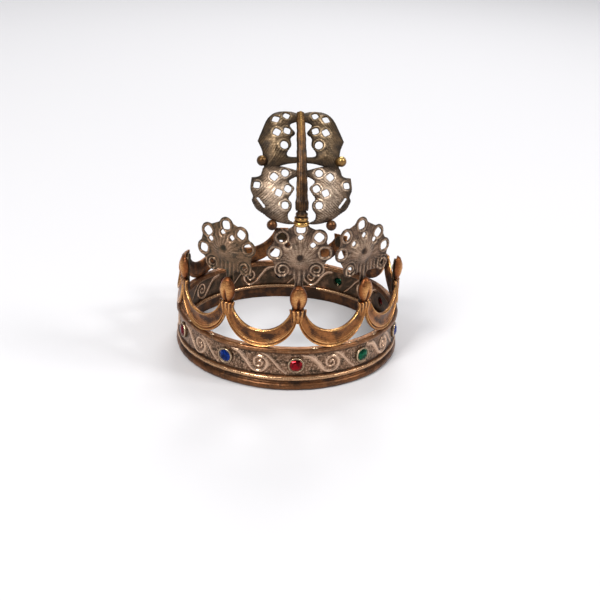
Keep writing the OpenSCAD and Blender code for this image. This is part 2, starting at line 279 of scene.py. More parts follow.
def worn_brass_group():
    """Patina in the hollows, rubbed gilding on the high places, verdigris in patches."""
    group, given, result = new_group(
        "worn_brass",
        [("Relief", FLOAT, 0.5), ("Dark", COLOUR, (0.05, 0.03, 0.015, 1)),
         ("Body", COLOUR, (0.3, 0.17, 0.08, 1)), ("Bright", COLOUR, (0.8, 0.55, 0.3, 1)),
         ("Mottle", FLOAT, 160.0), ("Wear", FLOAT, 0.5), ("Verdigris", FLOAT, 0.0),
         ("Dullness", FLOAT, 0.0)],
        [("Color", COLOUR), ("Roughness", FLOAT), ("Metallic", FLOAT), ("Height", FLOAT)])
    wires = Wires(group)
    place = group.nodes.new("ShaderNodeTexCoord").outputs["Object"]
    mottle = given.outputs["Mottle"]
    broad = wires.noise(place, mottle, 5, 0.6)
    fine = wires.noise(place, wires.math("MULTIPLY", mottle, 7.0), 4, 0.65)
    grain = wires.noise(place, 3200.0, 2, 0.5)
    rubbed = wires.noise(wires.stretch(place, (1, 1, 9)), 260.0, 3, 0.6)
    patches = wires.noise(place, 75.0, 4, 0.65)

    # High places and chance rubbing lose their patina, and soil stays in the hollows. On some
    # pieces the relief input also carries painted highlights and painted shade.
    raised = wires.math("MULTIPLY", given.outputs["Relief"], 0.75)
    chance = wires.math("MULTIPLY_ADD", fine, 0.5, wires.math("MULTIPLY", rubbed, 0.45))
    total = wires.math("ADD", raised, chance)
    total = wires.math("ADD", total, wires.math("MULTIPLY_ADD", given.outputs["Wear"], 0.8, -0.4))
    wear = wires.ramp(total, 0.72, 1.22)
    soil = wires.math("MULTIPLY_ADD", broad, 1.0, wires.math("MULTIPLY", fine, 0.45))
    soil = wires.math("ADD", soil, wires.math("MULTIPLY", given.outputs["Relief"], 0.45))
    clean = wires.ramp(soil, 0.66, 1.06)
    colour = wires.mix(clean, given.outputs["Dark"], given.outputs["Body"])
    colour = wires.mix(wear, colour, given.outputs["Bright"])

    # Verdigris spreads from its own patches and stays off the rubbed places
    spread = wires.math("MULTIPLY", given.outputs["Verdigris"], 0.4)
    green_from = wires.math("SUBTRACT", 0.78, spread)
    green = wires.math("ADD", patches, wires.math("MULTIPLY_ADD", fine, 0.25, -0.125))
    green = wires.ramp(green, green_from, wires.math("ADD", green_from, 0.12))
    unworn = wires.math("SUBTRACT", 1.0, wires.math("MULTIPLY", wear, 0.7))
    green = wires.math("MULTIPLY", green, unworn)
    colour = wires.mix(wires.math("MULTIPLY", green, 0.75), colour, (0.075, 0.105, 0.062, 1))

    # Worn metal is smoother, and green and soiled places are less metallic
    rough = wires.math("MULTIPLY_ADD", wear, -0.14, 0.36)
    rough = wires.math("ADD", rough, wires.math("MULTIPLY_ADD", fine, 0.36, -0.18))
    rough = wires.math("ADD", rough, given.outputs["Dullness"])
    rough = wires.math("ADD", rough, wires.math("MULTIPLY", green, 0.3), clamp=True)
    metal = wires.math("MULTIPLY_ADD", clean, 0.3, 0.7)
    metal = wires.math("MAXIMUM", metal, wear)
    bare = wires.math("SUBTRACT", 1.0, wires.math("MULTIPLY", green, 0.8))
    metal = wires.math("MULTIPLY", metal, bare)

    # Small dents, scratches round the ring and grain
    dents = wires.noise(place, 520.0, 2, 0.5)
    height = wires.math("MULTIPLY_ADD", fine, 0.5, wires.math("MULTIPLY", grain, 0.2))
    height = wires.math("MULTIPLY_ADD", dents, 1.1, height)
    height = wires.math("ADD", height, wires.math("MULTIPLY", rubbed, 0.3))
    for value, name in ((colour, "Color"), (rough, "Roughness"), (metal, "Metallic"),
                        (height, "Height")):
        group.links.new(value, result.inputs[name])
    return group


def hatching_group():
    """Fine engraved strokes that follow the piece's own stroke attribute."""
    group, given, result = new_group(
        "hatching", [("Strokes", FLOAT, 0.0), ("Depth", FLOAT, 0.5)],
        [("Cut", FLOAT), ("Height", FLOAT)])
    wires = Wires(group)
    place = group.nodes.new("ShaderNodeTexCoord").outputs["Object"]
    stray = wires.noise(place, 420.0, 3)
    shown = wires.ramp(wires.noise(place, 170.0, 3), 0.38, 0.62)
    phase = wires.math("MULTIPLY_ADD", stray, 5.0, given.outputs["Strokes"])
    cut = wires.ramp(wires.math("SINE", phase), 0.1, 0.95)
    cut = wires.math("MULTIPLY", wires.math("MULTIPLY", cut, shown), given.outputs["Depth"])
    group.links.new(cut, result.inputs["Cut"])
    group.links.new(wires.math("MULTIPLY", cut, -1.0), result.inputs["Height"])
    return group


WORN_BRASS = worn_brass_group()
HATCHING = hatching_group()


def brass(name, dark, body, bright, mottle=160.0, wear=0.5, verdigris=0.0, strokes=0.0,
          bump=0.35, dull=0.0):
    """Aged brass that reads the piece's relief, and its strokes where it is engraved."""
    material = bpy.data.materials.new(name)
    material.use_nodes = True
    tree = material.node_tree
    surface = tree.nodes["Principled BSDF"]
    relief = tree.nodes.new("ShaderNodeAttribute")
    relief.attribute_name = "relief"
    aged = tree.nodes.new("ShaderNodeGroup")
    aged.node_tree = WORN_BRASS
    for label, value in (("Dark", dark), ("Body", body), ("Bright", bright)):
        aged.inputs[label].default_value = (*value, 1)
    aged.inputs["Mottle"].default_value = mottle
    aged.inputs["Wear"].default_value = wear
    aged.inputs["Verdigris"].default_value = verdigris
    aged.inputs["Dullness"].default_value = dull
    tree.links.new(relief.outputs["Fac"], aged.inputs["Relief"])
    colour = aged.outputs["Color"]
    height = aged.outputs["Height"]
    if strokes > 0:
        wires = Wires(tree)
        way = tree.nodes.new("ShaderNodeAttribute")
        way.attribute_name = "strokes"
        cuts = tree.nodes.new("ShaderNodeGroup")
        cuts.node_tree = HATCHING
        cuts.inputs["Depth"].default_value = strokes
        tree.links.new(way.outputs["Fac"], cuts.inputs["Strokes"])
        shade = wires.math("MULTIPLY", cuts.outputs["Cut"], 0.75)
        colour = wires.mix(shade, colour, (*[0.6 * v for v in dark], 1))
        height = wires.math("MULTIPLY_ADD", cuts.outputs["Height"], 0.9, height)
    bump_node = tree.nodes.new("ShaderNodeBump")
    bump_node.inputs["Strength"].default_value = bump
    bump_node.inputs["Distance"].default_value = 0.0004
    tree.links.new(height, bump_node.inputs["Height"])
    tree.links.new(colour, surface.inputs["Base Color"])
    tree.links.new(aged.outputs["Roughness"], surface.inputs["Roughness"])
    tree.links.new(aged.outputs["Metallic"], surface.inputs["Metallic"])
    tree.links.new(bump_node.outputs["Normal"], surface.inputs["Normal"])
    return material


def glass(name, colour):
    """Foil-backed cut glass: a clear deep colour with a few rubbed facets."""
    material = bpy.data.materials.new(name)
    material.use_nodes = True
    tree = material.node_tree
    wires = Wires(tree)
    surface = tree.nodes["Principled BSDF"]
    surface.inputs["IOR"].default_value = 1.45
    surface.inputs["Metallic"].default_value = 0.75
    surface.inputs["Transmission Weight"].default_value = 0.1
    place = tree.nodes.new("ShaderNodeTexCoord").outputs["Object"]
    depth = wires.ramp(wires.noise(place, 420.0, 2), 0.3, 0.7)
    deep = tuple(0.2 * v for v in colour)
    tree.links.new(wires.mix(depth, (*deep, 1), (*colour, 1)), surface.inputs["Base Color"])
    dull = wires.ramp(wires.noise(place, 1800.0, 3), 0.45, 0.8, 0.03, 0.14)
    tree.links.new(dull, surface.inputs["Roughness"])
    return material


# Each finish has the colour of its hollows, of its plain surface and of its rubbed crests
GOLD = (0.82, 0.45, 0.17)
MOULDING = brass("moulding_brass", (0.030, 0.014, 0.007), (0.19, 0.08, 0.034),
                 (0.70, 0.43, 0.24), mottle=150, wear=0.34)
FRIEZE = brass("frieze_brass", (0.04, 0.024, 0.012), (0.23, 0.13, 0.08),
               (0.72, 0.49, 0.34), mottle=220)
ARCH = brass("arch_brass", (0.04, 0.016, 0.007), (0.34, 0.135, 0.047), GOLD, mottle=170, wear=0.38)
KNOB = brass("knob_brass", (0.06, 0.02, 0.008), (0.27, 0.09, 0.03), GOLD, mottle=240, wear=0.32)
BACKING = brass("backing_brass", (0.02, 0.014, 0.008), (0.095, 0.06, 0.03),
                (0.34, 0.24, 0.15), mottle=180, wear=0.3, verdigris=0.25)
ROSETTE = brass("rosette_brass", (0.035, 0.022, 0.015), (0.22, 0.135, 0.09),
                (0.60, 0.44, 0.31), mottle=260, verdigris=0.2, strokes=0.8, dull=0.08)
ROSETTE_GREEN = brass("rosette_brass_green", (0.028, 0.024, 0.014), (0.19, 0.115, 0.068),
                      (0.58, 0.38, 0.25), mottle=260, wear=0.44, verdigris=0.45, strokes=0.7,
                      dull=0.08)
LEAF = brass("crest_brass", (0.035, 0.023, 0.015), (0.20, 0.135, 0.09),
             (0.72, 0.55, 0.41), mottle=200, verdigris=0.12, strokes=1.0, dull=0.14)
# A darker copy of the crest brass for the upper leaves: painted shade, as they face away from the
# light. Their stronger verdigris is the metal's own.
LEAF_SHADED = brass("crest_brass_painted_shade", (0.026, 0.017, 0.01), (0.10, 0.065, 0.037),
                  (0.46, 0.33, 0.2), mottle=200, wear=0.38, verdigris=0.25, strokes=1.0, dull=0.12)
GILT = brass("crest_gilt", (0.022, 0.011, 0.005), (0.13, 0.065, 0.028),
             (0.62, 0.36, 0.12), mottle=200, wear=0.34)
# Copies of the gilt for the balls that differ mainly in brightness: a brighter one, painted light
# on the right middle ball, and a darker one, painted shade on the lower balls.
BALL_LIT = brass("ball_gilt_painted_lit", (0.08, 0.04, 0.012), (0.40, 0.22, 0.07),
             (0.85, 0.56, 0.2), mottle=300, wear=0.45)
BALL_SHADED = brass("ball_gilt_painted_shade", (0.02, 0.008, 0.004), (0.13, 0.055, 0.024),
                  (0.42, 0.22, 0.1), mottle=300, wear=0.3)
SETTING = brass("setting_brass", (0.035, 0.022, 0.014), (0.2, 0.13, 0.08),
                (0.66, 0.5, 0.33), mottle=300)
GLASSES = {
    "red": glass("red_glass", (0.32, 0.001, 0.008)),
    "dark_red": glass("dark_red_glass", (0.16, 0.002, 0.01)),
    "green": glass("green_glass", (0.001, 0.1, 0.045)),
    "blue": glass("blue_glass", (0.004, 0.036, 0.27)),
}
STONES = ["red", "green", "blue", "red", "green", "blue", "red", "green", "dark_red", "blue"]


# ---------------------------------------------------------------- mesh helpers

def grid_faces(rows, columns, wrap_rows=False, wrap_columns=False):
    """Quads between neighbouring points of a grid stored row by row."""
    row = np.arange(rows if wrap_rows else rows - 1)
    column = np.arange(columns if wrap_columns else columns - 1)
    row, column = np.meshgrid(row, column, indexing="ij")
    next_row = (row + 1) % rows
    next_column = (column + 1) % columns
    quads = [row * columns + column, row * columns + next_column,
             next_row * columns + next_column, next_row * columns + column]
    return np.stack(quads, -1).reshape(-1, 4)


def shell(front, back, faces):
    """A closed sheet: front faces, the same faces behind, and walls along the open edges."""
    count = len(front)
    edges = np.concatenate([faces[:, [i, (i + 1) % 4]] for i in range(4)])
    forward = edges[:, 0].astype(np.int64) * count + edges[:, 1]
    backward = edges[:, 1].astype(np.int64) * count + edges[:, 0]
    rim = edges[~np.isin(forward, backward)]
    walls = np.stack([rim[:, 1], rim[:, 0], rim[:, 0] + count, rim[:, 1] + count], -1)
    return np.concatenate([front, back]), np.concatenate([faces, faces[:, ::-1] + count, walls])


def build(name, points, faces, material, **values):
    """An object from points in millimetres. values are named numbers, one for each point."""
    faces = np.asarray(faces)
    used = np.unique(faces)
    renumber = np.zeros(len(points), dtype=np.int64)
    renumber[used] = np.arange(len(used))
    points = np.asarray(points)[used]
    mesh = bpy.data.meshes.new(name)
    mesh.from_pydata((points * MM).tolist(), [], renumber[faces].tolist())
    for label, numbers in values.items():
        layer = mesh.attributes.new(label, "FLOAT", "POINT")
        layer.data.foreach_set("value", np.asarray(numbers, dtype=np.float32)[used])
    mesh.materials.append(material)
    piece = bpy.data.objects.new(name, mesh)
    bpy.context.collection.objects.link(piece)
    tidy(mesh)
    mesh.shade_smooth()
    return piece


def tidy(mesh):
    """Merges doubled points and turns every face outwards."""
    work = bmesh.new()
    work.from_mesh(mesh)
    bmesh.ops.remove_doubles(work, verts=work.verts, dist=0.004 * MM)
    bmesh.ops.recalc_face_normals(work, faces=work.faces)
    work.to_mesh(mesh)
    work.free()


def keep(piece, slot, *nodes):
    """The piece belongs to the crown and stands for these CAD nodes."""
    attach(piece, "root")
    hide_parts(*nodes)


def polar(angle, radius, z):
    """Points round the axis. An angle of 0 is the front, and it grows towards +X."""
    angle, radius, z = np.broadcast_arrays(angle, radius, z)
    return np.stack([radius * np.sin(angle), -radius * np.cos(angle), z], -1)


def wobble(angle, size, seed=0.0):
    """Slow unevenness of hand work round the ring."""
    return size * (0.45 * np.sin(3 * angle + 1 + seed) + 0.3 * np.sin(7 * angle + 2 * seed)
                   + 0.25 * np.sin(13 * angle + 4 + seed) + 0.2 * np.sin(31 * angle + 3 * seed)
                   + 0.16 * np.sin(57 * angle + seed))


def revolve(profile, uneven, seed, steps=720):
    """A closed outline of (radius, z) points turned once round the axis, a little unevenly."""
    angle = np.linspace(0, TAU, steps, endpoint=False)
    outline = np.asarray(profile, dtype=float)
    angle_grid = np.repeat(angle[:, None], len(outline), 1)
    radius = outline[:, 0] + wobble(angle_grid, uneven, seed)
    z = outline[:, 1] + wobble(angle_grid, uneven * 0.5, seed + 2) * (outline[:, 1] > 1)
    points = polar(angle_grid, radius, z).reshape(-1, 3)
    return points, grid_faces(steps, len(outline), wrap_rows=True, wrap_columns=True)


def outline_cap(count, first):
    """Quads that close a ring of points, joined across in pairs."""
    pairs = [(i, i + 1, count - 2 - i, count - 1 - i) for i in range(count // 2 - 1)]
    return np.asarray(pairs) + first


def tube_faces(rows, columns):
    """Quads round a tube stored ring by ring, with both of its ends closed."""
    return np.concatenate([grid_faces(rows, columns, wrap_columns=True),
                           outline_cap(columns, 0), outline_cap(columns, (rows - 1) * columns)])


def turned(points, angle):
    """Points turned about the vertical axis."""
    return points @ np.array(Matrix.Rotation(angle, 3, "Z")).T


def both_sides(front, back):
    """One number for each point of a shell: those of its front, and one value behind."""
    return np.concatenate([front.ravel(), np.full(front.size, back)])


def round_arc(centre, radius, start, stop, steps):
    """Points on an arc, between two angles in degrees."""
    turn = np.radians(np.linspace(start, stop, steps))
    return [(centre[0] + radius * math.cos(a), centre[1] + radius * math.sin(a)) for a in turn]


def smooth_path(points, steps=8, closed=False):
    """A smooth curve through the given points."""
    points = np.asarray(points, dtype=float)
    if closed:
        padded = np.concatenate([points[-1:], points, points[:2]])
    else:
        before = 2 * points[:1] - points[1:2]
        after = 2 * points[-1:] - points[-2:-1]
        padded = np.concatenate([before, points, after])
    t = np.linspace(0, 1, steps, endpoint=False)[:, None]
    parts = []
    for a, b, c, d in zip(padded[:-3], padded[1:-2], padded[2:-1], padded[3:]):
        parts.append(0.5 * (2 * b + (c - a) * t + (2 * a - 5 * b + 4 * c - d) * t ** 2
                            + (3 * b - 3 * c + d - a) * t ** 3))
    if not closed:
        parts.append(points[-1:])
    return np.concatenate(parts)


def path_distance(x, y, path):
    """Distance from each point to a path, and how far along it the nearest place is, 0 to 1."""
    best = np.full(x.shape, 1e9)
    where = np.zeros(x.shape)
    count = len(path) - 1
    for i in range(count):
        (ax, ay), (bx, by) = path[i], path[i + 1]
        dx, dy = bx - ax, by - ay
        t = np.clip(((x - ax) * dx + (y - ay) * dy) / (dx * dx + dy * dy + 1e-12), 0, 1)
        distance = np.hypot(x - ax - t * dx, y - ay - t * dy)
        nearer = distance < best
        best = np.where(nearer, distance, best)
        where = np.where(nearer, (i + t) / count, where)
    return best, where


def outline_field(x, y, path):
    """Signed distance to a closed outline, negative inside it."""
    loop = np.concatenate([path, path[:1]])
    distance, _ = path_distance(x, y, loop)
    inside = np.zeros(x.shape, dtype=bool)
    for (ax, ay), (bx, by) in zip(loop[:-1], loop[1:]):
        if ay == by:
            continue
        crosses = (ay > y) != (by > y)
        inside ^= crosses & (x < (bx - ax) * (y - ay) / (by - ay) + ax)
    return np.where(inside, -distance, distance)


def disc_field(x, y, centre_x, centre_y, radius, squareness=2.0, turn=0.0):
    """Distance to a disc, or to a rounded square where squareness is over 2."""
    across = (x - centre_x) * math.cos(turn) + (y - centre_y) * math.sin(turn)
    upward = (y - centre_y) * math.cos(turn) - (x - centre_x) * math.sin(turn)
    reach = (np.abs(across) ** squareness + np.abs(upward) ** squareness) ** (1 / squareness)
    return reach - radius


def blend(first, second, reach):
    """The union of two fields with a filled corner between them."""
    mix = np.clip(0.5 + 0.5 * (second - first) / reach, 0, 1)
    return second * (1 - mix) + first * mix - reach * mix * (1 - mix)


def pierced_sheet(field, low_corner, high_corner, step):
    """Grid points of a sheet where its field is negative, with the edge moved onto its outline."""
    columns = int((high_corner[0] - low_corner[0]) / step) + 1
    rows = int((high_corner[1] - low_corner[1]) / step) + 1
    x, y = np.meshgrid(low_corner[0] + step * np.arange(columns),
                       low_corner[1] + step * np.arange(rows))
    for _ in range(2):
        reach = field(x, y)
        small = step * 0.1
        slope_x = (field(x + small, y) - reach) / small
        slope_y = (field(x, y + small) - reach) / small
        size = np.maximum(slope_x ** 2 + slope_y ** 2, 0.25)
        near = np.abs(reach) < 0.62 * step
        x = np.where(near, x - reach * slope_x / size, x)
        y = np.where(near, y - reach * slope_y / size, y)
    reach = field(x, y)
    faces = grid_faces(rows, columns)
    corners = reach.ravel()[faces]
    faces = faces[(corners.max(1) < 0.2 * step) & (corners.mean(1) < -0.04 * step)]
    return x.ravel(), y.ravel(), -reach.ravel(), faces


def edge_round(depth, width):
    """Part of the full thickness at a depth inside the outline."""
    share = np.clip(depth / width, 0, 1)
    return 0.22 + 0.78 * np.sqrt(np.clip(1 - (1 - share) ** 2, 0, 1))


# ---------------------------------------------------------------- geometry node trees

def new_tree(name, inputs):
    """An empty geometry tree, with the identifiers of its named inputs."""
    tree = bpy.data.node_groups.new(name, "GeometryNodeTree")
    face = tree.interface
    face.new_socket(name="Geometry", in_out="INPUT", socket_type="NodeSocketGeometry")
    sockets = {}
    for label, kind in (*inputs, ("Material", "NodeSocketMaterial")):
        made = face.new_socket(name=label, in_out="INPUT", socket_type=kind)
        sockets[label] = made.identifier
    face.new_socket(name="Geometry", in_out="OUTPUT", socket_type="NodeSocketGeometry")
    return tree, sockets, tree.nodes.new("NodeGroupInput")


def end_tree(tree, given, shape):
    """Makes copies real and gives the shape its material."""
    real = tree.nodes.new("GeometryNodeRealizeInstances")
    dress = tree.nodes.new("GeometryNodeSetMaterial")
    result = tree.nodes.new("NodeGroupOutput")
    tree.links.new(shape, real.inputs["Geometry"])
    tree.links.new(real.outputs["Geometry"], dress.inputs["Geometry"])
    tree.links.new(given.outputs["Material"], dress.inputs["Material"])
    tree.links.new(dress.outputs["Geometry"], result.inputs["Geometry"])


def around_tree():
    """Copies a piece round the Z axis, each with a little sway of its own."""
    tree, sockets, given = new_tree("copies_round_axis", [
        ("Count", INTEGER), ("First turn", FLOAT), ("Turn", FLOAT), ("Sway", FLOAT),
        ("Seed", INTEGER)])
    add = tree.nodes.new
    link = tree.links.new
    points = add("GeometryNodeMeshLine")
    points.inputs["Offset"].default_value = (0, 0, 0)
    link(given.outputs["Count"], points.inputs["Count"])
    number = add("GeometryNodeInputIndex")
    even = add("ShaderNodeMath")
    even.operation = "MULTIPLY_ADD"
    link(number.outputs[0], even.inputs[0])
    link(given.outputs["Turn"], even.inputs[1])
    link(given.outputs["First turn"], even.inputs[2])
    sway_low = add("ShaderNodeMath")
    sway_low.operation = "MULTIPLY"
    sway_low.inputs[1].default_value = -1.0
    link(given.outputs["Sway"], sway_low.inputs[0])
    sway = add("FunctionNodeRandomValue")
    sway.data_type = "FLOAT"
    link(sway_low.outputs[0], sway.inputs[2])
    link(given.outputs["Sway"], sway.inputs[3])
    link(given.outputs["Seed"], sway.inputs["Seed"])
    angle = add("ShaderNodeMath")
    angle.operation = "ADD"
    link(even.outputs[0], angle.inputs[0])
    link(sway.outputs[1], angle.inputs[1])
    lean = add("ShaderNodeCombineXYZ")
    link(angle.outputs[0], lean.inputs["Z"])
    copies = add("GeometryNodeInstanceOnPoints")
    link(points.outputs["Mesh"], copies.inputs["Points"])
    link(given.outputs["Geometry"], copies.inputs["Instance"])
    link(lean.outputs[0], copies.inputs["Rotation"])
    end_tree(tree, given, copies.outputs["Instances"])
    return tree, sockets


AROUND, AROUND_INPUTS = around_tree()


def copy_round(piece, count, first, turn, sway=0.0, seed=1):
    """Turns one piece made at the front into a ring of copies, as a plain mesh."""
    values = {"Count": count, "First turn": math.radians(first), "Turn": math.radians(turn),
              "Sway": math.radians(sway), "Seed": seed, "Material": piece.data.materials[0]}
    bake_tree(piece, AROUND, AROUND_INPUTS, values)


def bake_tree(piece, tree, sockets, values):
    """Runs a tree on a piece and keeps the result as its plain mesh."""
    modifier = piece.modifiers.new("copies", "NODES")
    modifier.node_group = tree
    for label, value in values.items():
        modifier[sockets[label]] = value
    bpy.context.view_layer.update()
    graph = bpy.context.evaluated_depsgraph_get()
    made = bpy.data.meshes.new_from_object(piece.evaluated_get(graph), depsgraph=graph)
    piece.modifiers.clear()
    piece.data = made


def roll_tree():
    """A round wire bent into a ring, or into part of one."""
    tree, sockets, given = new_tree("wire_ring", [
        ("Ring radius", FLOAT), ("Wire radius", FLOAT), ("Height", FLOAT),
        ("Share of ring", FLOAT), ("Uneven", FLOAT)])
    add = tree.nodes.new
    link = tree.links.new
    steps = 360
    circle = add("GeometryNodeCurvePrimitiveCircle")
    circle.inputs["Resolution"].default_value = steps
    link(given.outputs["Ring radius"], circle.inputs["Radius"])
    part = add("GeometryNodeTrimCurve")
    link(circle.outputs["Curve"], part.inputs["Curve"])
    link(given.outputs["Share of ring"], part.inputs[3])
    even = add("GeometryNodeResampleCurve")
    even.inputs["Count"].default_value = steps
    link(part.outputs["Curve"], even.inputs["Curve"])
    section = add("GeometryNodeCurvePrimitiveCircle")
    section.inputs["Resolution"].default_value = 20
    link(given.outputs["Wire radius"], section.inputs["Radius"])
    wire = add("GeometryNodeCurveToMesh")
    wire.inputs["Fill Caps"].default_value = True
    link(even.outputs["Curve"], wire.inputs["Curve"])
    link(section.outputs["Curve"], wire.inputs["Profile Curve"])
    bumps = add("ShaderNodeTexNoise")
    bumps.inputs["Scale"].default_value = 60.0
    centred = add("ShaderNodeVectorMath")
    centred.operation = "SUBTRACT"
    centred.inputs[1].default_value = (0.5, 0.5, 0.5)
    link(bumps.outputs["Color"], centred.inputs[0])
    sized = add("ShaderNodeVectorMath")
    sized.operation = "SCALE"
    link(centred.outputs[0], sized.inputs[0])
    link(given.outputs["Uneven"], sized.inputs["Scale"])
    lift = add("ShaderNodeCombineXYZ")
    link(given.outputs["Height"], lift.inputs["Z"])
    total = add("ShaderNodeVectorMath")
    link(sized.outputs[0], total.inputs[0])
    link(lift.outputs[0], total.inputs[1])
    move = add("GeometryNodeSetPosition")
    link(wire.outputs["Mesh"], move.inputs["Geometry"])
    link(total.outputs[0], move.inputs["Offset"])
    soften = add("GeometryNodeSetShadeSmooth")
    link(move.outputs["Geometry"], soften.inputs["Geometry"])
    end_tree(tree, given, soften.outputs["Geometry"])
    return tree, sockets


ROLL, ROLL_INPUTS = roll_tree()


def wire_ring(name, ring_radius, wire_radius, height, material, share, uneven=0.25):
    """A slightly uneven wire ring, open where its share is under 1, starting from +X."""
    mesh = bpy.data.meshes.new(name)
    mesh.materials.append(material)
    piece = bpy.data.objects.new(name, mesh)
    bpy.context.collection.objects.link(piece)
    values = {"Ring radius": ring_radius * MM, "Wire radius": wire_radius * MM,
              "Height": height * MM, "Share of ring": share, "Uneven": uneven * MM,
              "Material": material}
    bake_tree(piece, ROLL, ROLL_INPUTS, values)
    tidy(piece.data)
    return piece


def paint_relief(piece, rule):
    """Stores how exposed each point is, from 0 in a hollow to 1 on a crest."""
    mesh = piece.data
    points = np.empty(len(mesh.vertices) * 3)
    mesh.vertices.foreach_get("co", points)
    values = rule(points.reshape(-1, 3) / MM)
    layer = mesh.attributes.new("relief", "FLOAT", "POINT")
    layer.data.foreach_set("value", np.asarray(values, dtype=np.float32))


# ---------------------------------------------------------------- base mouldings

def base_ring():
    """Foot roll, shallow groove, upper roll and the ledge that carries the frieze."""
    outline = [(BORE_R, 0.9), (BORE_R, 0.3), (BORE_R + 0.5, 0.0), (FOOT_R - 2.4, 0.0)]
    outline += round_arc((FOOT_R - FOOT_ROLL_R, FOOT_ROLL_R), FOOT_ROLL_R, -80, 75, 14)
    outline += [(FOOT_R - 1.8, 4.6), (FOOT_R - 1.95, 4.95), (FOOT_R - 1.95, 5.3),
                (FOOT_R - 1.75, 5.6)]
    outline += round_arc((FOOT_R - 1.75, 7.0), UPPER_ROLL_R, -75, 60, 12)
    outline += [(FOOT_R - 1.6, 8.35), (FOOT_R - 2.0, BASE_TOP), (BORE_R + 0.3, BASE_TOP),
                (BORE_R + 0.1, 7.6), (BORE_R, 7.0), (BORE_R, 4.0)]
    points, faces = revolve(outline, uneven=0.24, seed=1.0)
    groove_z = 5.2
    radius = np.hypot(points[:, 0], points[:, 1])
    outer = radius - (FOOT_R - 2.9)
    foot = 0.1 + 0.4 * np.clip((outer - 0.8) / 2.1, 0, 1)
    # The outer face of the upper roll is painted bright: rubbed, and partly a painted highlight.
    upper = 0.9 * np.clip((outer - 0.9) / 1.2, 0, 1)
    relief = np.where(outer > 0, np.where(points[:, 2] > groove_z, upper, foot), 0.12)
    piece = build("base_moulding", points, faces, MOULDING, relief=relief)
    keep(piece, "moulding_brass", "base_ring")


def rim_relief(points):
    """The rim is rubbed on the outside of its rolls and dirty between them."""
    radius = np.hypot(points[:, 0], points[:, 1])
    away = np.maximum(np.abs(radius - 64.05) / 2.55, np.abs(points[:, 2] - RIM_MIDDLE) / 1.75)
    return 0.62 * np.clip((away - 0.45) / 0.5, 0, 1)


def top_rim():
    """Two rolls with a flat land between them, on which the arches stand."""
    roll_r = (RIM_TOP - RIM_LOW) / 2
    outer = high("top_rim", 0) - roll_r
    inner = RIM_IN + roll_r
    land_z = RIM_TOP - 0.12
    outline = round_arc((outer, RIM_MIDDLE), roll_r, -90, 90, 16)
    outline += [(outer - 0.4, land_z), (inner + 0.4, land_z)]
    outline += round_arc((inner, RIM_MIDDLE), roll_r, 90, 270, 16)
    outline += [(inner + 0.4, RIM_LOW), (outer - 0.4, RIM_LOW)]
    points, faces = revolve(outline, uneven=0.2, seed=3.0)
    piece = build("rim_moulding", points, faces, MOULDING, relief=rim_relief(points))
    keep(piece, "moulding_brass", "top_rim")


def inner_bead():
    """The soldered bead inside the band, with its open joint near the back."""
    ring_radius = (high("inner_bead", 0) - low("inner_bead", 0)) / 2 - BEAD_R
    piece = wire_ring("inside_bead", ring_radius, BEAD_R, BEAD_Z, MOULDING, BEAD_SHARE)
    # The wire is painted lighter towards its top, a painted highlight.
    paint_relief(piece, lambda points: np.clip(0.75 + 0.3 * (points[:, 2] - BEAD_Z), 0, 1))
    joint = math.radians(92 + BEAD_SHARE * 360 - 5)
    piece.data.transform(Matrix.Rotation(joint, 4, "Z"))
    keep(piece, "moulding_brass", "inner_bead")


def solder_patch(index, bay, offset, size, steps):
    """One low uneven drop of solder on the rim, as rings of points from its foot to its top."""
    centre = math.radians(bay * BAY) + offset / ARCH_IN
    around = np.linspace(0, TAU, steps, endpoint=False)
    uneven = 1 + 0.25 * np.sin(2 * around + index) + 0.12 * np.sin(5 * around)
    rings = []
    for step, rise in ((1.0, 0.0), (0.82, 0.22), (0.5, 0.42), (0.12, 0.5)):
        reach = size * step * uneven
        angle = centre + 1.7 * reach * np.cos(around) / ARCH_IN
        rings.append(polar(angle, 65.2 + 0.62 * reach * np.sin(around),
                           RIM_TOP - 0.18 + rise * size))
    foot = rings[0] - np.array([0, 0, 0.2])
    return np.concatenate([foot, *rings])


def solder_patches():
    """Bright uneven solder where the arches meet the rim, its brightness partly a painted
    highlight.
    """
    # Bay, distance from its middle and size of each patch
    spots = [(0, 9.6, 1.0), (1, -9.3, 0.8), (1, 9.7, 0.9), (2, -9.4, 0.7), (8, 9.5, 0.8),
             (9, -9.6, 1.0), (9, 9.3, 0.7), (4, 9.0, 0.8), (6, -9.2, 0.9)]
    rings, steps = 5, 20
    parts, faces = [], []
    for index, (bay, offset, size) in enumerate(spots):
        parts.append(solder_patch(index, bay, offset, size, steps))
        faces.append(tube_faces(rings, steps) + index * rings * steps)
    points = np.concatenate(parts)
    piece = build("rim_solder", points, np.concatenate(faces), SETTING,
                  relief=np.full(len(points), 0.8))
    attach(piece, "root")


# ---------------------------------------------------------------- frieze band

def scroll_strokes():
    """The wave of one bay, as paths of (across, up) from the middle of the bay."""
    wave = smooth_path([(-15.5, 5.6), (-11.5, 4.2), (-7.8, 0.3), (-4.6, -3.9), (-1.4, -5.5)], 6)
    turn = np.linspace(0, 1.72 * TAU, 44)
    radius = 5.6 - 5.0 * (turn / turn[-1]) ** 0.85
    start = math.radians(-105)
    spiral = np.stack([radius * np.cos(start + turn), radius * np.sin(start + turn)], -1)
    wave = np.concatenate([wave[:-1], spiral])
    tail = smooth_path([(2.2, 6.2), (5.0, 4.6), (8.2, 1.2), (11.4, -2.6), (15.0, -5.8)], 6)
    return wave, tail


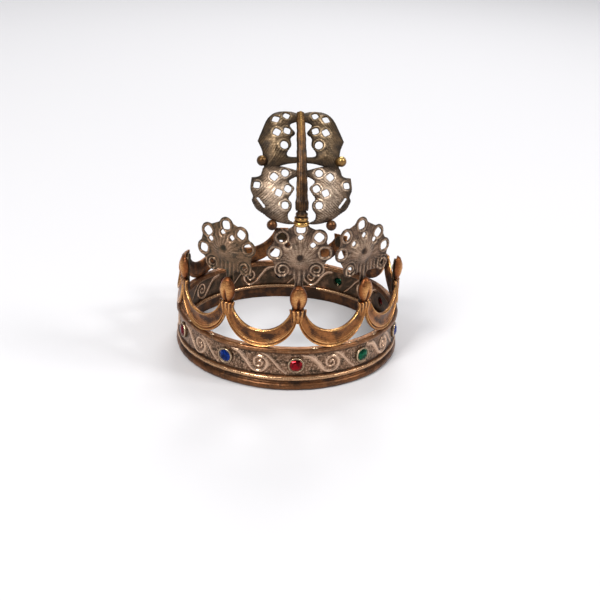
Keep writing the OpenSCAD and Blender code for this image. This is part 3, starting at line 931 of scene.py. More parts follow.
def frieze_relief(across, up):
    """Height of the chased work in millimetres: a wave that rolls into a volute, and its tail."""
    wave, tail = scroll_strokes()
    distance, along = path_distance(across, up, wave)
    half = 1.5 - 0.85 * np.clip(along * 1.3, 0, 1)
    height = 0.8 * np.exp(-(distance / half) ** 2 * 1.5)
    height -= 0.2 * np.exp(-((distance - 1.75 * half) / 0.5) ** 2)
    distance, along = path_distance(across, up, tail)
    ridge = np.exp(-(distance / (1.0 - 0.35 * along)) ** 2 * 1.5)
    return np.maximum(height, 0.6 * ridge)


def fade_dark(level):
    """How much darker the band is made towards its top and bottom edges, where it meets its
    mouldings.
    """
    return np.clip((np.abs(level) - (FRIEZE_H / 2 - 1.4)) / 1.4, 0, 1) ** 2


def frieze_band():
    """Thin band, chased in relief that shows reversed inside, with a window behind each stone."""
    around, rows = 1240, 38
    dent_depth = 0.14
    clean_edge = 0.8
    angle = np.linspace(0, TAU, around, endpoint=False)[:, None]
    level = np.linspace(-FRIEZE_H / 2, FRIEZE_H / 2, rows)[None, :]
    angle, level = np.broadcast_arrays(angle, level)
    bay = math.radians(BAY)
    across = (np.remainder(angle + bay / 2, bay) - bay / 2) * BAND_R
    from_scroll = (np.remainder(angle, bay) - bay / 2) * BAND_R
    sway = 0.35 * np.sin(np.floor(angle / bay) * 2.1)
    height = frieze_relief(from_scroll + sway * np.exp(-(from_scroll / 8) ** 2), level)
    rng = np.random.default_rng(7)
    punches = rng.random((around, rows))
    stipple = np.where(punches > 0.62, 1.0, 0.0)
    stipple = (stipple + np.roll(stipple, 1, 0) + np.roll(stipple, 1, 1)) / 3
    ground = np.clip(1 - height / 0.22, 0, 1)
    dents = dent_depth * ground * stipple
    fade = 1 - np.clip((np.abs(level) - (FRIEZE_H / 2 - clean_edge)) / clean_edge, 0, 1)
    wave = wobble(angle, 0.12, 5.0)
    outer_r = BAND_R - 0.05 + (height * fade) - dents * fade + wave - 0.05
    inner_r = BAND_R - SHEET_T + 0.8 * height * fade + wave * 0.8

    # Points near a window's edge are moved onto it, and the faces inside it are left out
    window = np.hypot(across, level)
    snapped = (window > WINDOW_R - 0.35) & (window < WINDOW_R + 0.25)
    shift = np.where(snapped, WINDOW_R / np.maximum(window, 0.05), 1.0)
    moved_angle = angle + (across * shift - across) / BAND_R
    outer = polar(moved_angle, outer_r, GEM_Z + level * shift)
    inner = polar(moved_angle, inner_r, GEM_Z + level * shift)
    faces = grid_faces(around, rows, wrap_rows=True)
    corners = window.ravel()[faces]
    faces = faces[corners.max(1) > WINDOW_R + 0.02]
    points, faces = shell(outer.reshape(-1, 3), inner.reshape(-1, 3), faces)

    # Crests are lighter, rubbed and partly a painted highlight, and the little grooves beside them
    # are painted shade. Punched dents hold dirt, and the band is darker towards its top and bottom
    # edges.
    crest = np.clip(height / 0.62, 0, 1) ** 1.5
    front = 0.62 + 0.2 * crest + 2.2 * np.minimum(height, 0) - 5.0 * dents
    front = np.clip(front - 0.35 * fade_dark(level), 0, 1)
    # Inside, painted highlights run along the reversed scroll lines on a dark ground.
    back = np.clip(0.04 + 0.85 * crest, 0, 1)
    relief = np.concatenate([front.ravel(), back.ravel()])
    piece = build("frieze_sheet", points, faces, FRIEZE, relief=relief)
    keep(piece, "frieze_brass", "frieze_band")


def seam_plate():
    """A dull strip over the joint of the inside bead, with its edges eased."""
    mesh = bpy.data.objects["seam_plate"].data.copy()
    piece = bpy.data.objects.new("seam_strip", mesh)
    bpy.context.collection.objects.link(piece)
    mesh.materials.clear()
    mesh.materials.append(BACKING)
    tidy(mesh)
    work = bmesh.new()
    work.from_mesh(mesh)
    bmesh.ops.bevel(work, geom=work.edges[:], offset=0.12 * MM, segments=2, affect="EDGES")
    work.to_mesh(mesh)
    work.free()
    mesh.shade_flat()
    paint_relief(piece, lambda points: np.full(len(points), 0.4))
    keep(piece, "moulding_brass", "seam_plate")


# ---------------------------------------------------------------- stones and settings

def brilliant():
    """A round cut stone, table outwards along -Y, in one closed faceted mesh."""
    # Radius, rise above the girdle, sides and part of a side that each ring is turned by.
    # A ring of eight sides has its corners doubled, so that all rings have the same count.
    count = 16
    rings = [(1.55, 1.2, 8, 0.5), (2.75, 0.72, 8, 0.0), (3.52, 0.12, 16, 0.0),
             (GEM_R, 0.0, 16, 0.0), (3.55, -0.22, 16, 0.0), (1.9, -1.75, 8, 0.5)]
    culet = (0, 2.9, 0)
    points = []
    for radius, rise, sides, shift in rings:
        for k in range(count):
            step = k if sides == count else 2 * (k // 2)
            turn = TAU * (step + 2 * shift) / count
            points.append((radius * math.cos(turn), -rise, radius * math.sin(turn)))
    points.append(culet)
    faces = [list(range(count))]
    for ring in range(len(rings) - 1):
        for k in range(count):
            a, b = ring * count + k, ring * count + (k + 1) % count
            faces.append((a, b, b + count))
            faces.append((a, b + count, a + count))
    last = (len(rings) - 1) * count
    faces += [(last + k, last + (k + 1) % count, len(points) - 1) for k in range(count)]
    return points, faces


def stones():
    """Ten stones, each turned and tilted a little differently in its setting."""
    points, faces = brilliant()
    for index, colour in enumerate(STONES):
        mesh = bpy.data.meshes.new("stone")
        work = bmesh.new()
        corners = [work.verts.new((x * MM, y * MM, z * MM)) for x, y, z in points]
        for face in faces:
            work.faces.new([corners[i] for i in face])
        bmesh.ops.remove_doubles(work, verts=work.verts, dist=0.02 * MM)
        bmesh.ops.dissolve_degenerate(work, edges=work.edges, dist=0.02 * MM)
        bmesh.ops.recalc_face_normals(work, faces=work.faces)
        work.to_mesh(mesh)
        work.free()
        tilt = Matrix.Rotation(math.radians(4 * math.sin(index * 2.3)), 4, "X")
        spin = Matrix.Rotation(math.radians(37 * index), 4, "Y")
        turn = Matrix.Rotation(math.radians(index * BAY), 4, "Z")
        place = Matrix.Translation((0, -GEM_SEAT * MM, GEM_Z * MM))
        mesh.transform(turn @ place @ tilt @ spin)
        mesh.materials.append(GLASSES[colour])
        mesh.shade_flat()
        piece = bpy.data.objects.new("stone_%02d" % (index + 1), mesh)
        bpy.context.collection.objects.link(piece)
        keep(piece, colour + "_glass", "gem_%02d" % (index + 1))


def setting_ring():
    """One collet: outer wall, bright lip, groove and a milled inner edge, facing -Y."""
    steps = 72
    foot_r = BAND_R - 0.35
    bright, milled_edge, groove = (3, 4, 8), (8, 9), (6, 7)
    outline = [(SETTING_R - 0.05, 0.0), (SETTING_R, 0.5), (SETTING_R - 0.12, 1.15),
               (SETTING_R - 0.3, 1.55), (SETTING_R - 0.5, 1.68), (SETTING_R - 0.68, 1.5),
               (SETTING_R - 0.78, 1.2), (SETTING_R - 0.92, 1.32), (GEM_R + 0.02, 1.42),
               (GEM_R - 0.28, 1.3), (GEM_R - 0.3, 1.12), (GEM_R + 0.08, 1.02), (GEM_R + 0.08, 0.0)]
    points, relief = [], []
    for k in range(steps):
        turn = TAU * k / steps
        for index, (radius, rise) in enumerate(outline):
            uneven = 0.05 * math.sin(3 * turn + 1) + 0.04 * math.sin(7 * turn)
            if index in milled_edge:
                radius += 0.07 if k % 2 else -0.07
            radius += uneven
            points.append((radius * math.cos(turn), -(foot_r + rise + uneven * 0.6),
                           GEM_Z + radius * math.sin(turn)))
            relief.append(0.95 if index in bright else 0.1 if index in groove else 0.5)
    faces = grid_faces(steps, len(outline), wrap_rows=True, wrap_columns=True)
    return np.array(points), faces, np.array(relief)


def settings():
    """One collet, copied round the band."""
    points, faces, relief = setting_ring()
    piece = build("stone_settings", points, faces, SETTING, relief=relief)
    copy_round(piece, BAYS, 0, BAY)
    keep(piece, "setting_brass", "gem_settings")


# ---------------------------------------------------------------- arches

def arch_section(share):
    """Outward rise of the arch face at a share of its width, from 0 outside to 1 at the hollow."""
    rise = np.zeros(share.shape)
    ridges = ((0.07, 0.055, 0.75), (0.235, 0.05, 0.55), (0.37, 0.04, 0.22), (0.955, 0.05, 0.7))
    for centre, width, size in ridges:
        rise = rise + size * np.exp(-((share - centre) / width) ** 2)
    cove = np.clip((share - 0.3) / 0.62, 0, 1)
    rise = rise - 0.62 * np.sin(np.pi * cove) ** 0.9
    return rise - 0.4 * np.exp(-((share - 0.155) / 0.045) ** 2)


def arch_edge(share):
    """Radius and centre height of the circle that the arch follows at a share of its width."""
    radius = ARCH_BALL_R + (ARCH_HOLLOW_R - ARCH_BALL_R) * share
    lowest = RIM_TOP - ARCH_SINK + (ARCH_WEB + ARCH_SINK) * share
    return radius, lowest + radius


def arch_points(share, span):
    """Across and height on the unrolled cylinder. span runs from -1 to 1, tip to tip."""
    radius, centre = arch_edge(share)
    reach = np.arccos(np.clip((centre - ARCH_TOP) / radius, -1, 1))
    turn = reach * span
    limit = ARCH_IN * math.radians(BAY / 2) - 0.1
    across = np.clip(radius * np.sin(turn), -limit, limit)
    return across, centre - radius * np.cos(turn)


def arches():
    """One fluted crescent, repeated above the gaps between the stones."""
    spans, shares = 150, 46
    span = np.linspace(-1, 1, spans)[:, None]
    share = np.linspace(0, 1, shares)[None, :]
    span, share = np.broadcast_arrays(span, share)
    across, z = arch_points(share, span)
    thick = edge_round(np.minimum(share, 1 - share) * 10, 0.8)
    middle = ARCH_IN + ARCH_T * 0.42
    tips = np.clip((np.abs(span) - 0.86) / 0.14, 0, 1)
    front_r = middle + (ARCH_T * 0.36 + arch_section(share) * 0.9) * thick * (1 - 0.7 * tips)
    back_r = middle - ARCH_T * 0.38 * thick + 0.3 * arch_section(share)
    angle = across / ARCH_IN
    front = polar(angle, front_r, z).reshape(-1, 3)
    back = polar(angle, back_r, z).reshape(-1, 3)
    points, faces = shell(front, back, grid_faces(spans, shares))
    # Painted reflections run in streaks across the face. The ridges are painted lighter, rubbed
    # and partly painted highlight lines, and the cove darker.
    painted_reflections = 0.1 * np.sin(span * 9 + share * 14) + 0.08 * np.sin(share * 60)
    ridge = np.clip(0.52 + 0.5 * arch_section(share) + painted_reflections, 0, 1)
    relief = both_sides(ridge, 0.12)
    for index in range(BAYS):
        sway = 0.25 * math.sin(index * 2.7)
        lift = 0.12 * math.sin(index * 1.9)
        placed = turned(points, math.radians((index + 0.5) * BAY + sway))
        placed[:, 2] += lift * (placed[:, 2] - RIM_TOP) / 22
        piece = build("arch_sheet_%02d" % (index + 1), placed, faces, ARCH, relief=relief)
        keep(piece, "arch_brass", "arch_%02d" % (index + 1))


# ---------------------------------------------------------------- uprights and knobs

def upright(index):
    """The flat tongue behind a knob, with rounded shoulders, bent round the ring."""
    top = POST_TOP if index in FRONTS else high("upright_%02d" % (index + 1))
    columns, rows = 15, 40
    across = np.linspace(-1, 1, columns)[None, :]
    level = np.linspace(0, 1, rows)[:, None]
    across, level = np.broadcast_arrays(across, level)
    z = POST_LOW + (top - POST_LOW) * level
    from_top = np.clip((top - z) / POST_HALF, 0, 1)
    from_foot = np.clip((z - POST_LOW) / 1.2, 0, 1)
    width = POST_HALF * np.sqrt(1 - (1 - from_top) ** 2 + 0.01) * (0.75 + 0.25 * from_foot)
    from_side = np.clip(1 - np.abs(across), 0, 1) * POST_HALF
    outward = 0.65 * edge_round(from_side, 0.7)
    middle = (POST_FRONT + POST_BACK) / 2
    angle = across * width / middle + math.radians(index * BAY)
    front = polar(angle, middle + outward, z).reshape(-1, 3)
    back = polar(angle, middle - outward, z).reshape(-1, 3)
    points, faces = shell(front, back, grid_faces(rows, columns))
    relief = both_sides(0.5 + 0.4 * np.cos(across * 9), 0.25)
    piece = build("upright_sheet_%02d" % (index + 1), points, faces, BACKING, relief=relief)
    keep(piece, "arch_brass", "upright_%02d" % (index + 1))


def fluted_stem(index):
    """Where two arches meet below a knob: their ridges run together as a narrow fluted neck."""
    columns, rows = 41, 26
    across = np.linspace(-1, 1, columns)[None, :]
    level = np.linspace(0, 1, rows)[:, None]
    across, level = np.broadcast_arrays(across, level)
    below, length = 7.2, 7.9
    z = ARCH_TOP - below + length * level
    width = 3.5 + 1.15 * level
    bulge = edge_round((1 - np.abs(across)) * 3.6, 1.0)
    flutes = 0.22 * np.cos(across * 12.5) * (0.4 + 0.6 * level)
    closing = 1 - 0.75 * np.clip((level - 0.86) / 0.14, 0, 1) ** 2
    front_r = ARCH_IN + 0.7 + (1.9 + flutes) * bulge * (0.6 + 0.4 * level) * closing
    back_r = ARCH_IN + 0.25 - 0.3 * bulge
    angle = across * width / ARCH_IN + math.radians(index * BAY)
    front = polar(angle, front_r, z).reshape(-1, 3)
    back = polar(angle, back_r, z).reshape(-1, 3)
    points, faces = shell(front, back, grid_faces(rows, columns))
    return points, faces, both_sides(np.clip(0.45 + 2.2 * flutes, 0, 1), 0.2)


def fluted_stems():
    """The necks belong to the arches, which the CAD ends in plain tips."""
    for index in range(BAYS):
        points, faces, relief = fluted_stem(index)
        piece = build("arch_tip_%02d" % (index + 1), points, faces, ARCH, relief=relief)
        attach(piece, "root")


def knob(index):
    """A flat-backed bud: two lobes beside a crease below, and one full round above."""
    rows, columns = 56, 48
    level = np.linspace(0, 1, rows)[:, None]
    turn = np.linspace(0, 1, columns)[None, :]
    level, turn = np.broadcast_arrays(level, turn)
    z = KNOB_LOW + (KNOB_TOP - KNOB_LOW) * (0.5 - 0.5 * np.cos(np.pi * level))
    part = (z - KNOB_LOW) / (KNOB_TOP - KNOB_LOW)
    half = KNOB_HALF * np.clip(np.sin(np.pi * part ** 0.94), 0, 1) ** 0.5
    depth = KNOB_DEPTH * np.clip(np.sin(np.pi * part ** 0.9), 0, 1) ** 0.5
    theta = np.pi * (turn - 0.5)
    across = half * np.sin(theta)
    crease_reach = np.clip((0.62 - part) / 0.3, 0, 1)
    crease = 0.85 * np.exp(-(across / 0.62) ** 2) * crease_reach
    ring = 0.22 * np.exp(-((part - 0.9) / 0.035) ** 2)
    hollow = 1 - 0.22 * np.exp(-(across / 1.1) ** 2) * crease_reach
    outward = depth * np.cos(theta) * hollow - crease
    radius = POST_FRONT + 0.35 + np.maximum(outward + ring, 0.06 * np.cos(theta))
    angle = across / (POST_FRONT + 1.0)
    front = polar(angle, radius, z).reshape(-1, 3)
    back = polar(angle, POST_FRONT + 0.25, z).reshape(-1, 3)
    points, faces = shell(front, back, grid_faces(rows, columns))
    raised = np.clip(outward / 3.4, 0, 1)
    relief = both_sides(np.clip(0.25 + 0.6 * raised - 0.9 * crease, 0, 1), 0.1)
    sway = 0.4 * math.sin(index * 3.1)
    points = turned(points, math.radians(index * BAY + sway))
    piece = build("bud_%02d" % (index + 1), points, faces, KNOB, relief=relief)
    keep(piece, "knob_brass", "knob_%02d" % (index + 1))


def rivets():
    """Peened rivet heads inside the ring, one behind each knob."""
    # Radius and rise of each ring, from the shank inside the upright to the middle of the head
    rings = [(1.0, -1.4), (1.9, 0.0), (1.85, 0.3), (1.4, 0.62), (0.7, 0.78), (0.15, 0.8)]
    steps = 20
    points = []
    for radius, rise in rings:
        for k in range(steps):
            turn = TAU * k / steps
            radius_here = radius * (1 + 0.05 * math.sin(3 * turn))
            points.append((radius_here * math.cos(turn), -(POST_BACK - rise),
                           KNOB_Z + radius_here * math.sin(turn)))
    relief = np.repeat([0.2, 0.3, 0.7, 0.9, 1.0, 1.0], steps)
    faces = tube_faces(len(rings), steps)
    piece = build("rivet_heads", points, faces, SETTING, relief=relief)
    copy_round(piece, len(FRONTS), -2 * BAY, BAY)
    keep(piece, "setting_brass", "knob_rivets")


# ---------------------------------------------------------------- rosettes

# No two plates are alike. Places are across the plate and up from the foot of the crown.
# Loops are (across, height, turn of the hole in degrees), diamonds and volutes (across, height).
FRONT_LOOPS = [(0, 93.5, 0), (-9.8, 88.8, 40), (9.8, 88.8, -40), (-13.2, 80.2, 80),
               (13.2, 80.2, -80)]
RIGHT_LOOPS = [(-3.6, 92.6, 12), (9.1, 85.9, -40), (14.7, 77.1, -80), (-14.3, 88, 42),
               (-17.1, 78.5, 80)]
LEFT_LOOPS = [(-2.8, 90.5, 10), (-14.5, 85.1, 44), (-17.2, 74.7, 80), (6.9, 87.1, -30),
              (11.5, 80.2, -60)]
# Bay, loops, diamonds, volutes and finish of each plate
ROSETTES = {
    "front": (0, FRONT_LOOPS, [(0, 88.8), (-6.7, 84.5), (6.7, 84.5)],
              [(-9, 70.7), (9, 70.7)], ROSETTE),
    "right": (1, RIGHT_LOOPS, [(-1.6, 86.5), (6.4, 82.5), (-8.7, 82.9)],
              [(14.2, 67.2), (-10.4, 68.3)], ROSETTE),
    "left": (-1, LEFT_LOOPS, [(-4.7, 86.2), (-12.5, 81), (1.1, 84.1)],
             [(-11.5, 67.5), (9.5, 68.5)], ROSETTE_GREEN),
}


def rosette_field(centre_x, loops, diamonds, volutes):
    """Outline of one scalloped plate with its holes, as a signed distance."""
    web = 2.9
    lobe_r = LOOP_R + 0.25
    stem_z = 63.5
    lobes = [(loop_x, loop_y) for loop_x, loop_y, _ in loops] + volutes
    lobes.sort(key=lambda lobe: math.atan2(lobe[1] - ROSETTE_Z + 4, lobe[0] - centre_x))
    body_outline = np.array(lobes, dtype=float)

    def field(x, y):
        body = outline_field(x, y, body_outline) - web
        for lobe_x, lobe_y in lobes:
            body = blend(body, disc_field(x, y, lobe_x, lobe_y, lobe_r), 0.7)
        stem_half = 2.3 + 4.4 * np.clip((y - stem_z) / 9, 0, 1) ** 1.4
        stem = np.maximum(np.abs(x) - stem_half, np.maximum(y - ROSETTE_Z, PLATE_LOW - y))
        body = blend(body, stem, 1.2)
        for loop_x, loop_y, turn in loops:
            hole = disc_field(x, y, loop_x, loop_y, LOOP_HOLE_R, 3.2, math.radians(turn))
            body = np.maximum(body, -hole)
        for volute_x, volute_y in volutes:
            body = np.maximum(body, -disc_field(x, y, volute_x, volute_y, VOLUTE_HOLE_R, 2.4))
        for diamond_x, diamond_y in diamonds:
            hole = disc_field(x, y, diamond_x, diamond_y, DIAMOND_R, 4, math.radians(45))
            body = np.maximum(body, -hole)
        return body

    return field


def rosette_dome(x, y, centre_x):
    """The plate's broad dome, and the distance of each point from its middle."""
    from_middle = np.hypot(x - centre_x, y - (ROSETTE_Z - 1.5))
    return DOME_H * np.clip(1 - (from_middle / DOME_R) ** 2, 0, 1) ** 1.3, from_middle


def rosette_height(x, y, centre_x, loops, diamonds, volutes):
    """Chased relief of a plate: dome with a dimple, fanned ribs, raised rims and scrolls."""
    height, from_middle = rosette_dome(x, y, centre_x)
    height = height - 1.1 * np.exp(-(from_middle / 1.5) ** 2)
    fan_x, fan_y = x - centre_x, y - (ROSETTE_Z - 4.5)
    bearing = np.arctan2(fan_x, fan_y)
    reach = np.hypot(fan_x, fan_y)
    ribs = 0.5 + 0.5 * np.cos(bearing * 23 + 0.8 * np.sin(reach * 1.3))
    belt = np.clip((reach - 3.6) / 1.4, 0, 1) * np.clip((14.0 - reach) / 3, 0, 1)
    belt = belt * np.clip((2.0 - np.abs(bearing)) / 0.6, 0, 1)
    height += 0.2 * ribs * belt
    holes = [(hole_x, hole_y, LOOP_HOLE_R) for hole_x, hole_y, _ in loops]
    holes += [(hole_x, hole_y, 1.1) for hole_x, hole_y in diamonds]
    for hole_x, hole_y, radius in holes:
        away = np.hypot(x - hole_x, y - hole_y) - radius
        height += 0.34 * np.exp(-((away - 1.0) / 0.5) ** 2)
        height -= 0.2 * np.exp(-((away - 2.0) / 0.45) ** 2) * (radius > 2)
    for side, (volute_x, volute_y) in zip((-1, 1), volutes):
        away = np.hypot(x - volute_x, y - volute_y)
        bearing = np.arctan2(y - volute_y, (x - volute_x) * side)
        scroll = np.cos(TAU * (away / 2.0) - bearing)
        height += 0.4 * scroll * np.clip((5.2 - away) / 1.5, 0, 1)
    stem = np.clip((ROSETTE_Z - 8 - y) / 3, 0, 1)
    return height + 0.25 * stem * np.cos(x * 2.4)


def rosette(side):
    """A pierced plate behind its upright, domed, chased, and curled back towards its rim."""
    bay, loops, diamonds, volutes, material = ROSETTES[side]
    centre_x = sum(spot[0] for spot in loops) / len(loops)
    field = rosette_field(centre_x, loops, diamonds, volutes)
    x, y, depth, faces = pierced_sheet(field, (-24, PLATE_LOW - 0.6), (24, 99.5), 0.34)
    half = PLATE_T / 2 * edge_round(depth, 0.55)
    height = rosette_height(x, y, centre_x, loops, diamonds, volutes)
    curl = 0.0011 * np.maximum(np.hypot(x, y - ROSETTE_Z) - 6, 0) ** 2
    middle = PLATE_MID - curl
    lift = height * np.clip(depth / 0.5, 0, 1)
    front = np.stack([x, -(middle + half + lift), y], -1)
    back = np.stack([x, -(middle - half + 0.8 * lift), y], -1)
    points, faces = shell(front, back, faces)
    points = turned(points, math.radians(bay * BAY))
    dome, _ = rosette_dome(x, y, centre_x)
    exposed = np.clip(0.36 + 0.9 * (height - dome) + 0.12 * dome, 0, 1)
    fan = np.arctan2(x - centre_x, y - ROSETTE_Z + 4) * 60
    piece = build("rosette_plate_" + side, points, faces, material,
                  relief=both_sides(exposed, 0.2), strokes=np.concatenate([fan, fan]))
    keep(piece, "rosette_brass", "rosette_" + side)


# ---------------------------------------------------------------- crest

# Edges of the right leaves, across the crest and along it from the top of the collar
LOWER_EDGE = [(0, 19), (7.5, 22), (14, 23), (19.5, 22.5), (21.5, 18), (25.6, 17.2), (25.9, 16.9),
              (26.5, 11), (25.2, 7.2), (25.8, 5.0), (23.6, 0.6), (19.5, -2.5), (16, -5),
              (12, -6.5), (7, -7.4), (3.5, -7.0), (6.6, -5.0), (7.2, -2.2), (5.5, 0.4), (5.3, 3.4),
              (6.9, 5.8), (5.4, 8.2), (3.9, 11.4), (6.6, 15.2)]
UPPER_EDGE = [(0, 51.5), (3.5, 53.5), (8.5, 54), (13.7, 53), (17.5, 49.5), (20.5, 42.5),
              (22.6, 37.1), (22.5, 36.7), (20.6, 32), (20, 28.5), (19.4, 25.5), (19.2, 22.2),
              (14.0, 22.2), (7, 24.0), (0, 25), (0, 27.5), (6.5, 28), (7.5, 30), (5.2, 34),
              (5.5, 38), (3, 41), (5.7, 45.8), (0, 48.6)]
# Holes: across, along, half size, squareness, turn in degrees
LOWER_HOLES = [(8.8, 18.9, 1.9, 2, 0), (14.5, 16.8, 1.75, 5, 40), (12.1, 8.6, 1.65, 5, 25),
               (7.4, 10.8, 1.75, 3, 30), (8.8, 2.3, 1.85, 2, 0), (23.3, 12.8, 1.6, 4, 10)]
UPPER_HOLES = [(9, 33.8, 2, 2, 0), (12.8, 40.6, 1.75, 5, 30), (7.4, 41.7, 1.7, 3.4, 15),
               (7.6, 50.4, 1.6, 3.4, 30), (13.2, 48.3, 1.7, 5, 25)]
LOWER_SLOT = [(19.6, 1.6), (22.8, 5.9)]
SLOT_HALF = 0.55
# Balls of the right side, across and along
LOWER_BALL = (15.4, -7.8)
MIDDLE_BALL = (20.6, 25.4)


def on_crest(x, along, outward):
    """Points on the crest, which curves backwards from the top of the collar."""
    turn = CREST_TILT + along / CREST_R
    radius = CREST_R + outward
    return np.stack([x, CREST_Y - radius * np.cos(turn), CREST_Z + radius * np.sin(turn)], -1)


def side_name(part, side):
    return part + "_" + ("right" if side > 0 else "left")


def leaf(part, side, edge, holes, seed):
    """A domed, pierced leaf with hatched strokes. The left one mirrors the right."""
    outline = smooth_path(edge, 4, closed=True)

    def field(x, y):
        body = outline_field(x, y, outline)
        for hole_x, hole_y, radius, squareness, turn in holes:
            hole = disc_field(x, y, hole_x, hole_y, radius, squareness, math.radians(turn))
            body = np.maximum(body, -hole)
        if part == "lower":
            from_slot, _ = path_distance(x, y, LOWER_SLOT)
            body = np.maximum(body, SLOT_HALF - from_slot)
        return body

    bottom = min(point[1] for point in edge) - 1.5
    top = max(point[1] for point in edge) + 1.5
    x, y, depth, faces = pierced_sheet(field, (-1.0, bottom), (28.5, top), 0.4)
    from_edge = -outline_field(x, y, outline)
    middle = (bottom + top) / 2
    dome = 2.6 * (1 - np.exp(-np.clip(from_edge, 0, None) / 4.5))
    away = 0.0075 * np.clip(x - 8, 0, None) ** 2
    rims = np.zeros(x.shape)
    for hole_x, hole_y, radius, _, _ in holes:
        gap = np.hypot(x - hole_x, y - hole_y) - radius
        rims += 0.38 * np.exp(-((gap - 1.0) / 0.5) ** 2)
    slope = math.radians(38 if part == "lower" else 52)
    crosswise = x * math.sin(slope) + (y - middle) * math.cos(slope)
    folds = 0.03 * np.sin(crosswise * 2.6 + seed) * np.clip(from_edge / 2, 0, 1)
    height = dome - away + (rims + folds) * np.clip(depth / 0.6, 0, 1)
    half = LEAF_T / 2 * edge_round(depth, 0.6)
    front = on_crest(x * side, y, height + half - 0.3)
    back = on_crest(x * side, y, height - half - 0.3)
    points, faces = shell(front, back, faces)
    # Where the leaf curls away it is painted darker, a painted shade.
    exposed = np.clip(0.14 + 0.26 * dome + rims * 0.9 + folds - 0.12 * away, 0, 1)
    lines = crosswise * 5.2 + 2.4 * np.sin((y + seed) * 0.3) + 1.5 * np.sin(x * 0.4)
    name = side_name(part, side)
    # The upper leaves take the darker copy, which is painted shade.
    piece = build("leaf_" + name, points, faces, LEAF if part == "lower" else LEAF_SHADED,
                  relief=both_sides(exposed, 0.2), strokes=np.concatenate([lines, lines]))
    keep(piece, "crest_brass", "crest_leaf_" + name)


def crest_spine():
    """A tapering midrib, round-backed below and ridged like a blade above."""
    rows, columns = 150, 36
    tip = SPINE_L + 1.5
    along = np.linspace(-0.4, tip, rows)[:, None]
    turn = np.linspace(0, TAU, columns, endpoint=False)[None, :]
    along, turn = np.broadcast_arrays(along, turn)
    share = np.clip(along / SPINE_L, 0, 1)
    half = 3.15 - 0.95 * share + 0.4 * np.exp(-((along - 3.2) / 3.0) ** 2)
    half = half * (1 + 0.03 * np.sin(along * 0.7) + 0.02 * np.sin(along * 1.9))
    blunt = np.sqrt(np.clip((tip + 0.05 - along) / 0.9, 0.05, 1))
    half = half * blunt
    thick = (1.75 + 0.5 * np.exp(-((along - 3.2) / 2.4) ** 2) - 0.35 * share) * blunt
    x = half * np.cos(turn)
    rise = np.sin(turn)
    ridge = 0.5 * share * np.exp(-(x / 0.5) ** 2) * (rise > 0)
    grooves = 0.16 * np.cos(x * 4.6) * (1 - share) * (rise > 0)
    outward = thick * np.sign(rise) * np.abs(rise) ** 0.8 + ridge + grooves + 0.35
    points = on_crest(x, along, outward).reshape(-1, 3)
    # The upper part of the midrib is painted brighter, a painted highlight.
    top_highlight = np.clip((share - 0.55) / 0.4, 0, 1)
    relief = np.clip(0.12 + 0.5 * top_highlight + ridge + grooves * 1.6, 0, 1).ravel()
    piece = build("crest_midrib", points, tube_faces(rows, columns), GILT, relief=relief)
    keep(piece, "crest_gilt", "crest_spine")


def crest_collar():
    """Three turned rings, the widest at the bottom."""
    top = COLLAR_TOP + 0.35
    core = 0.05
    outline = [(core, COLLAR_LOW), (1.8, COLLAR_LOW)]
    for radius, roll, level in ((2.75, 1.5, 1.35), (2.45, 1.25, 3.95), (2.2, 1.05, 6.2)):
        outline += round_arc((radius, COLLAR_LOW + level), roll, -75, 75, 9)
    outline += [(2.0, top), (core, top)]
    steps = 64
    points = []
    for k in range(steps):
        turn = TAU * k / steps
        for radius, z in outline:
            uneven = 1 + 0.02 * math.sin(3 * turn + z)
            points.append((radius * uneven * math.cos(turn),
                           radius * uneven * math.sin(turn) - PLATE_MID, z))
    points = np.array(points)
    faces = grid_faces(steps, len(outline), wrap_rows=True, wrap_columns=True)
    reach = np.hypot(points[:, 0], points[:, 1] + PLATE_MID)
    relief = np.clip((reach - 2.4) / 1.5, 0, 1)
    piece = build("crest_rings", points, faces, GILT, relief=relief)
    keep(piece, "crest_gilt", "crest_collar")


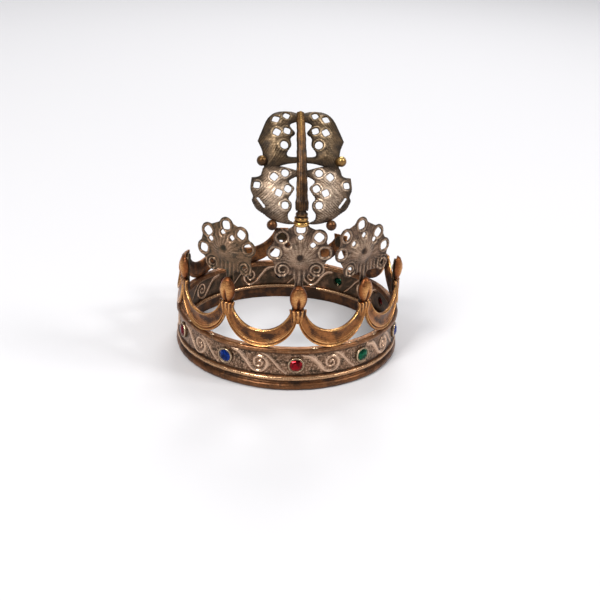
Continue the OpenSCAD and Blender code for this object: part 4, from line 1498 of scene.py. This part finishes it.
def crest_ball(part, side, x, along, material):
    """A hollow ball soldered at the leaf's edge, with a seam round its middle."""
    rows, columns = 30, 40
    pole = 0.02
    down = np.linspace(pole, math.pi - pole, rows)[:, None]
    turn = np.linspace(0, TAU, columns, endpoint=False)[None, :]
    down, turn = np.broadcast_arrays(down, turn)
    seam = 0.05 * np.exp(-((down - math.pi / 2) / 0.06) ** 2)
    radius = BALL_R * (1 + 0.012 * np.sin(3 * turn) * np.sin(down)) + seam
    centre = on_crest(np.array(float(x * side)), np.array(float(along)), np.array(0.3))
    points = np.stack([radius * np.sin(down) * np.cos(turn),
                       radius * np.sin(down) * np.sin(turn),
                       radius * np.cos(down)], -1) + centre
    # The ball is painted lighter towards its top, a painted highlight.
    rubbed = np.clip(0.35 + 0.5 * np.cos(down), 0, 1).ravel()
    name = side_name(part, side)
    piece = build("ball_" + name, points.reshape(-1, 3), tube_faces(rows, columns), material,
                  relief=rubbed)
    keep(piece, "crest_gilt", "crest_ball_" + name)


# ---------------------------------------------------------------- the crown

place_camera()
light_world()
soft_light("window", (-1.0, -1.2, 1.7), 0.5, 30, (1.0, 0.99, 0.97))
soft_light("side", (1.3, -0.5, 1.2), 0.4, 10)
soft_light("behind", (0.3, 1.4, 1.5), 0.7, 13)
lay_floor()

base_ring()
top_rim()
inner_bead()
seam_plate()
solder_patches()
frieze_band()
settings()
stones()
arches()
fluted_stems()
for number in range(BAYS):
    upright(number)
for number in FRONTS:
    knob(number)
rivets()
for plate in ROSETTES:
    rosette(plate)
for side in (-1, 1):
    leaf("lower", side, LOWER_EDGE, LOWER_HOLES, 1.0 + side)
    leaf("upper", side, UPPER_EDGE, UPPER_HOLES, 2.5 + side)
    crest_ball("lower", side, *LOWER_BALL, BALL_SHADED)
# The right middle ball is painted lit, and the left one keeps the plain gilt.
crest_ball("middle", 1, *MIDDLE_BALL, BALL_LIT)
crest_ball("middle", -1, *MIDDLE_BALL, GILT)
crest_spine()
crest_collar()

bpy.context.scene.view_settings.view_transform = "Standard"
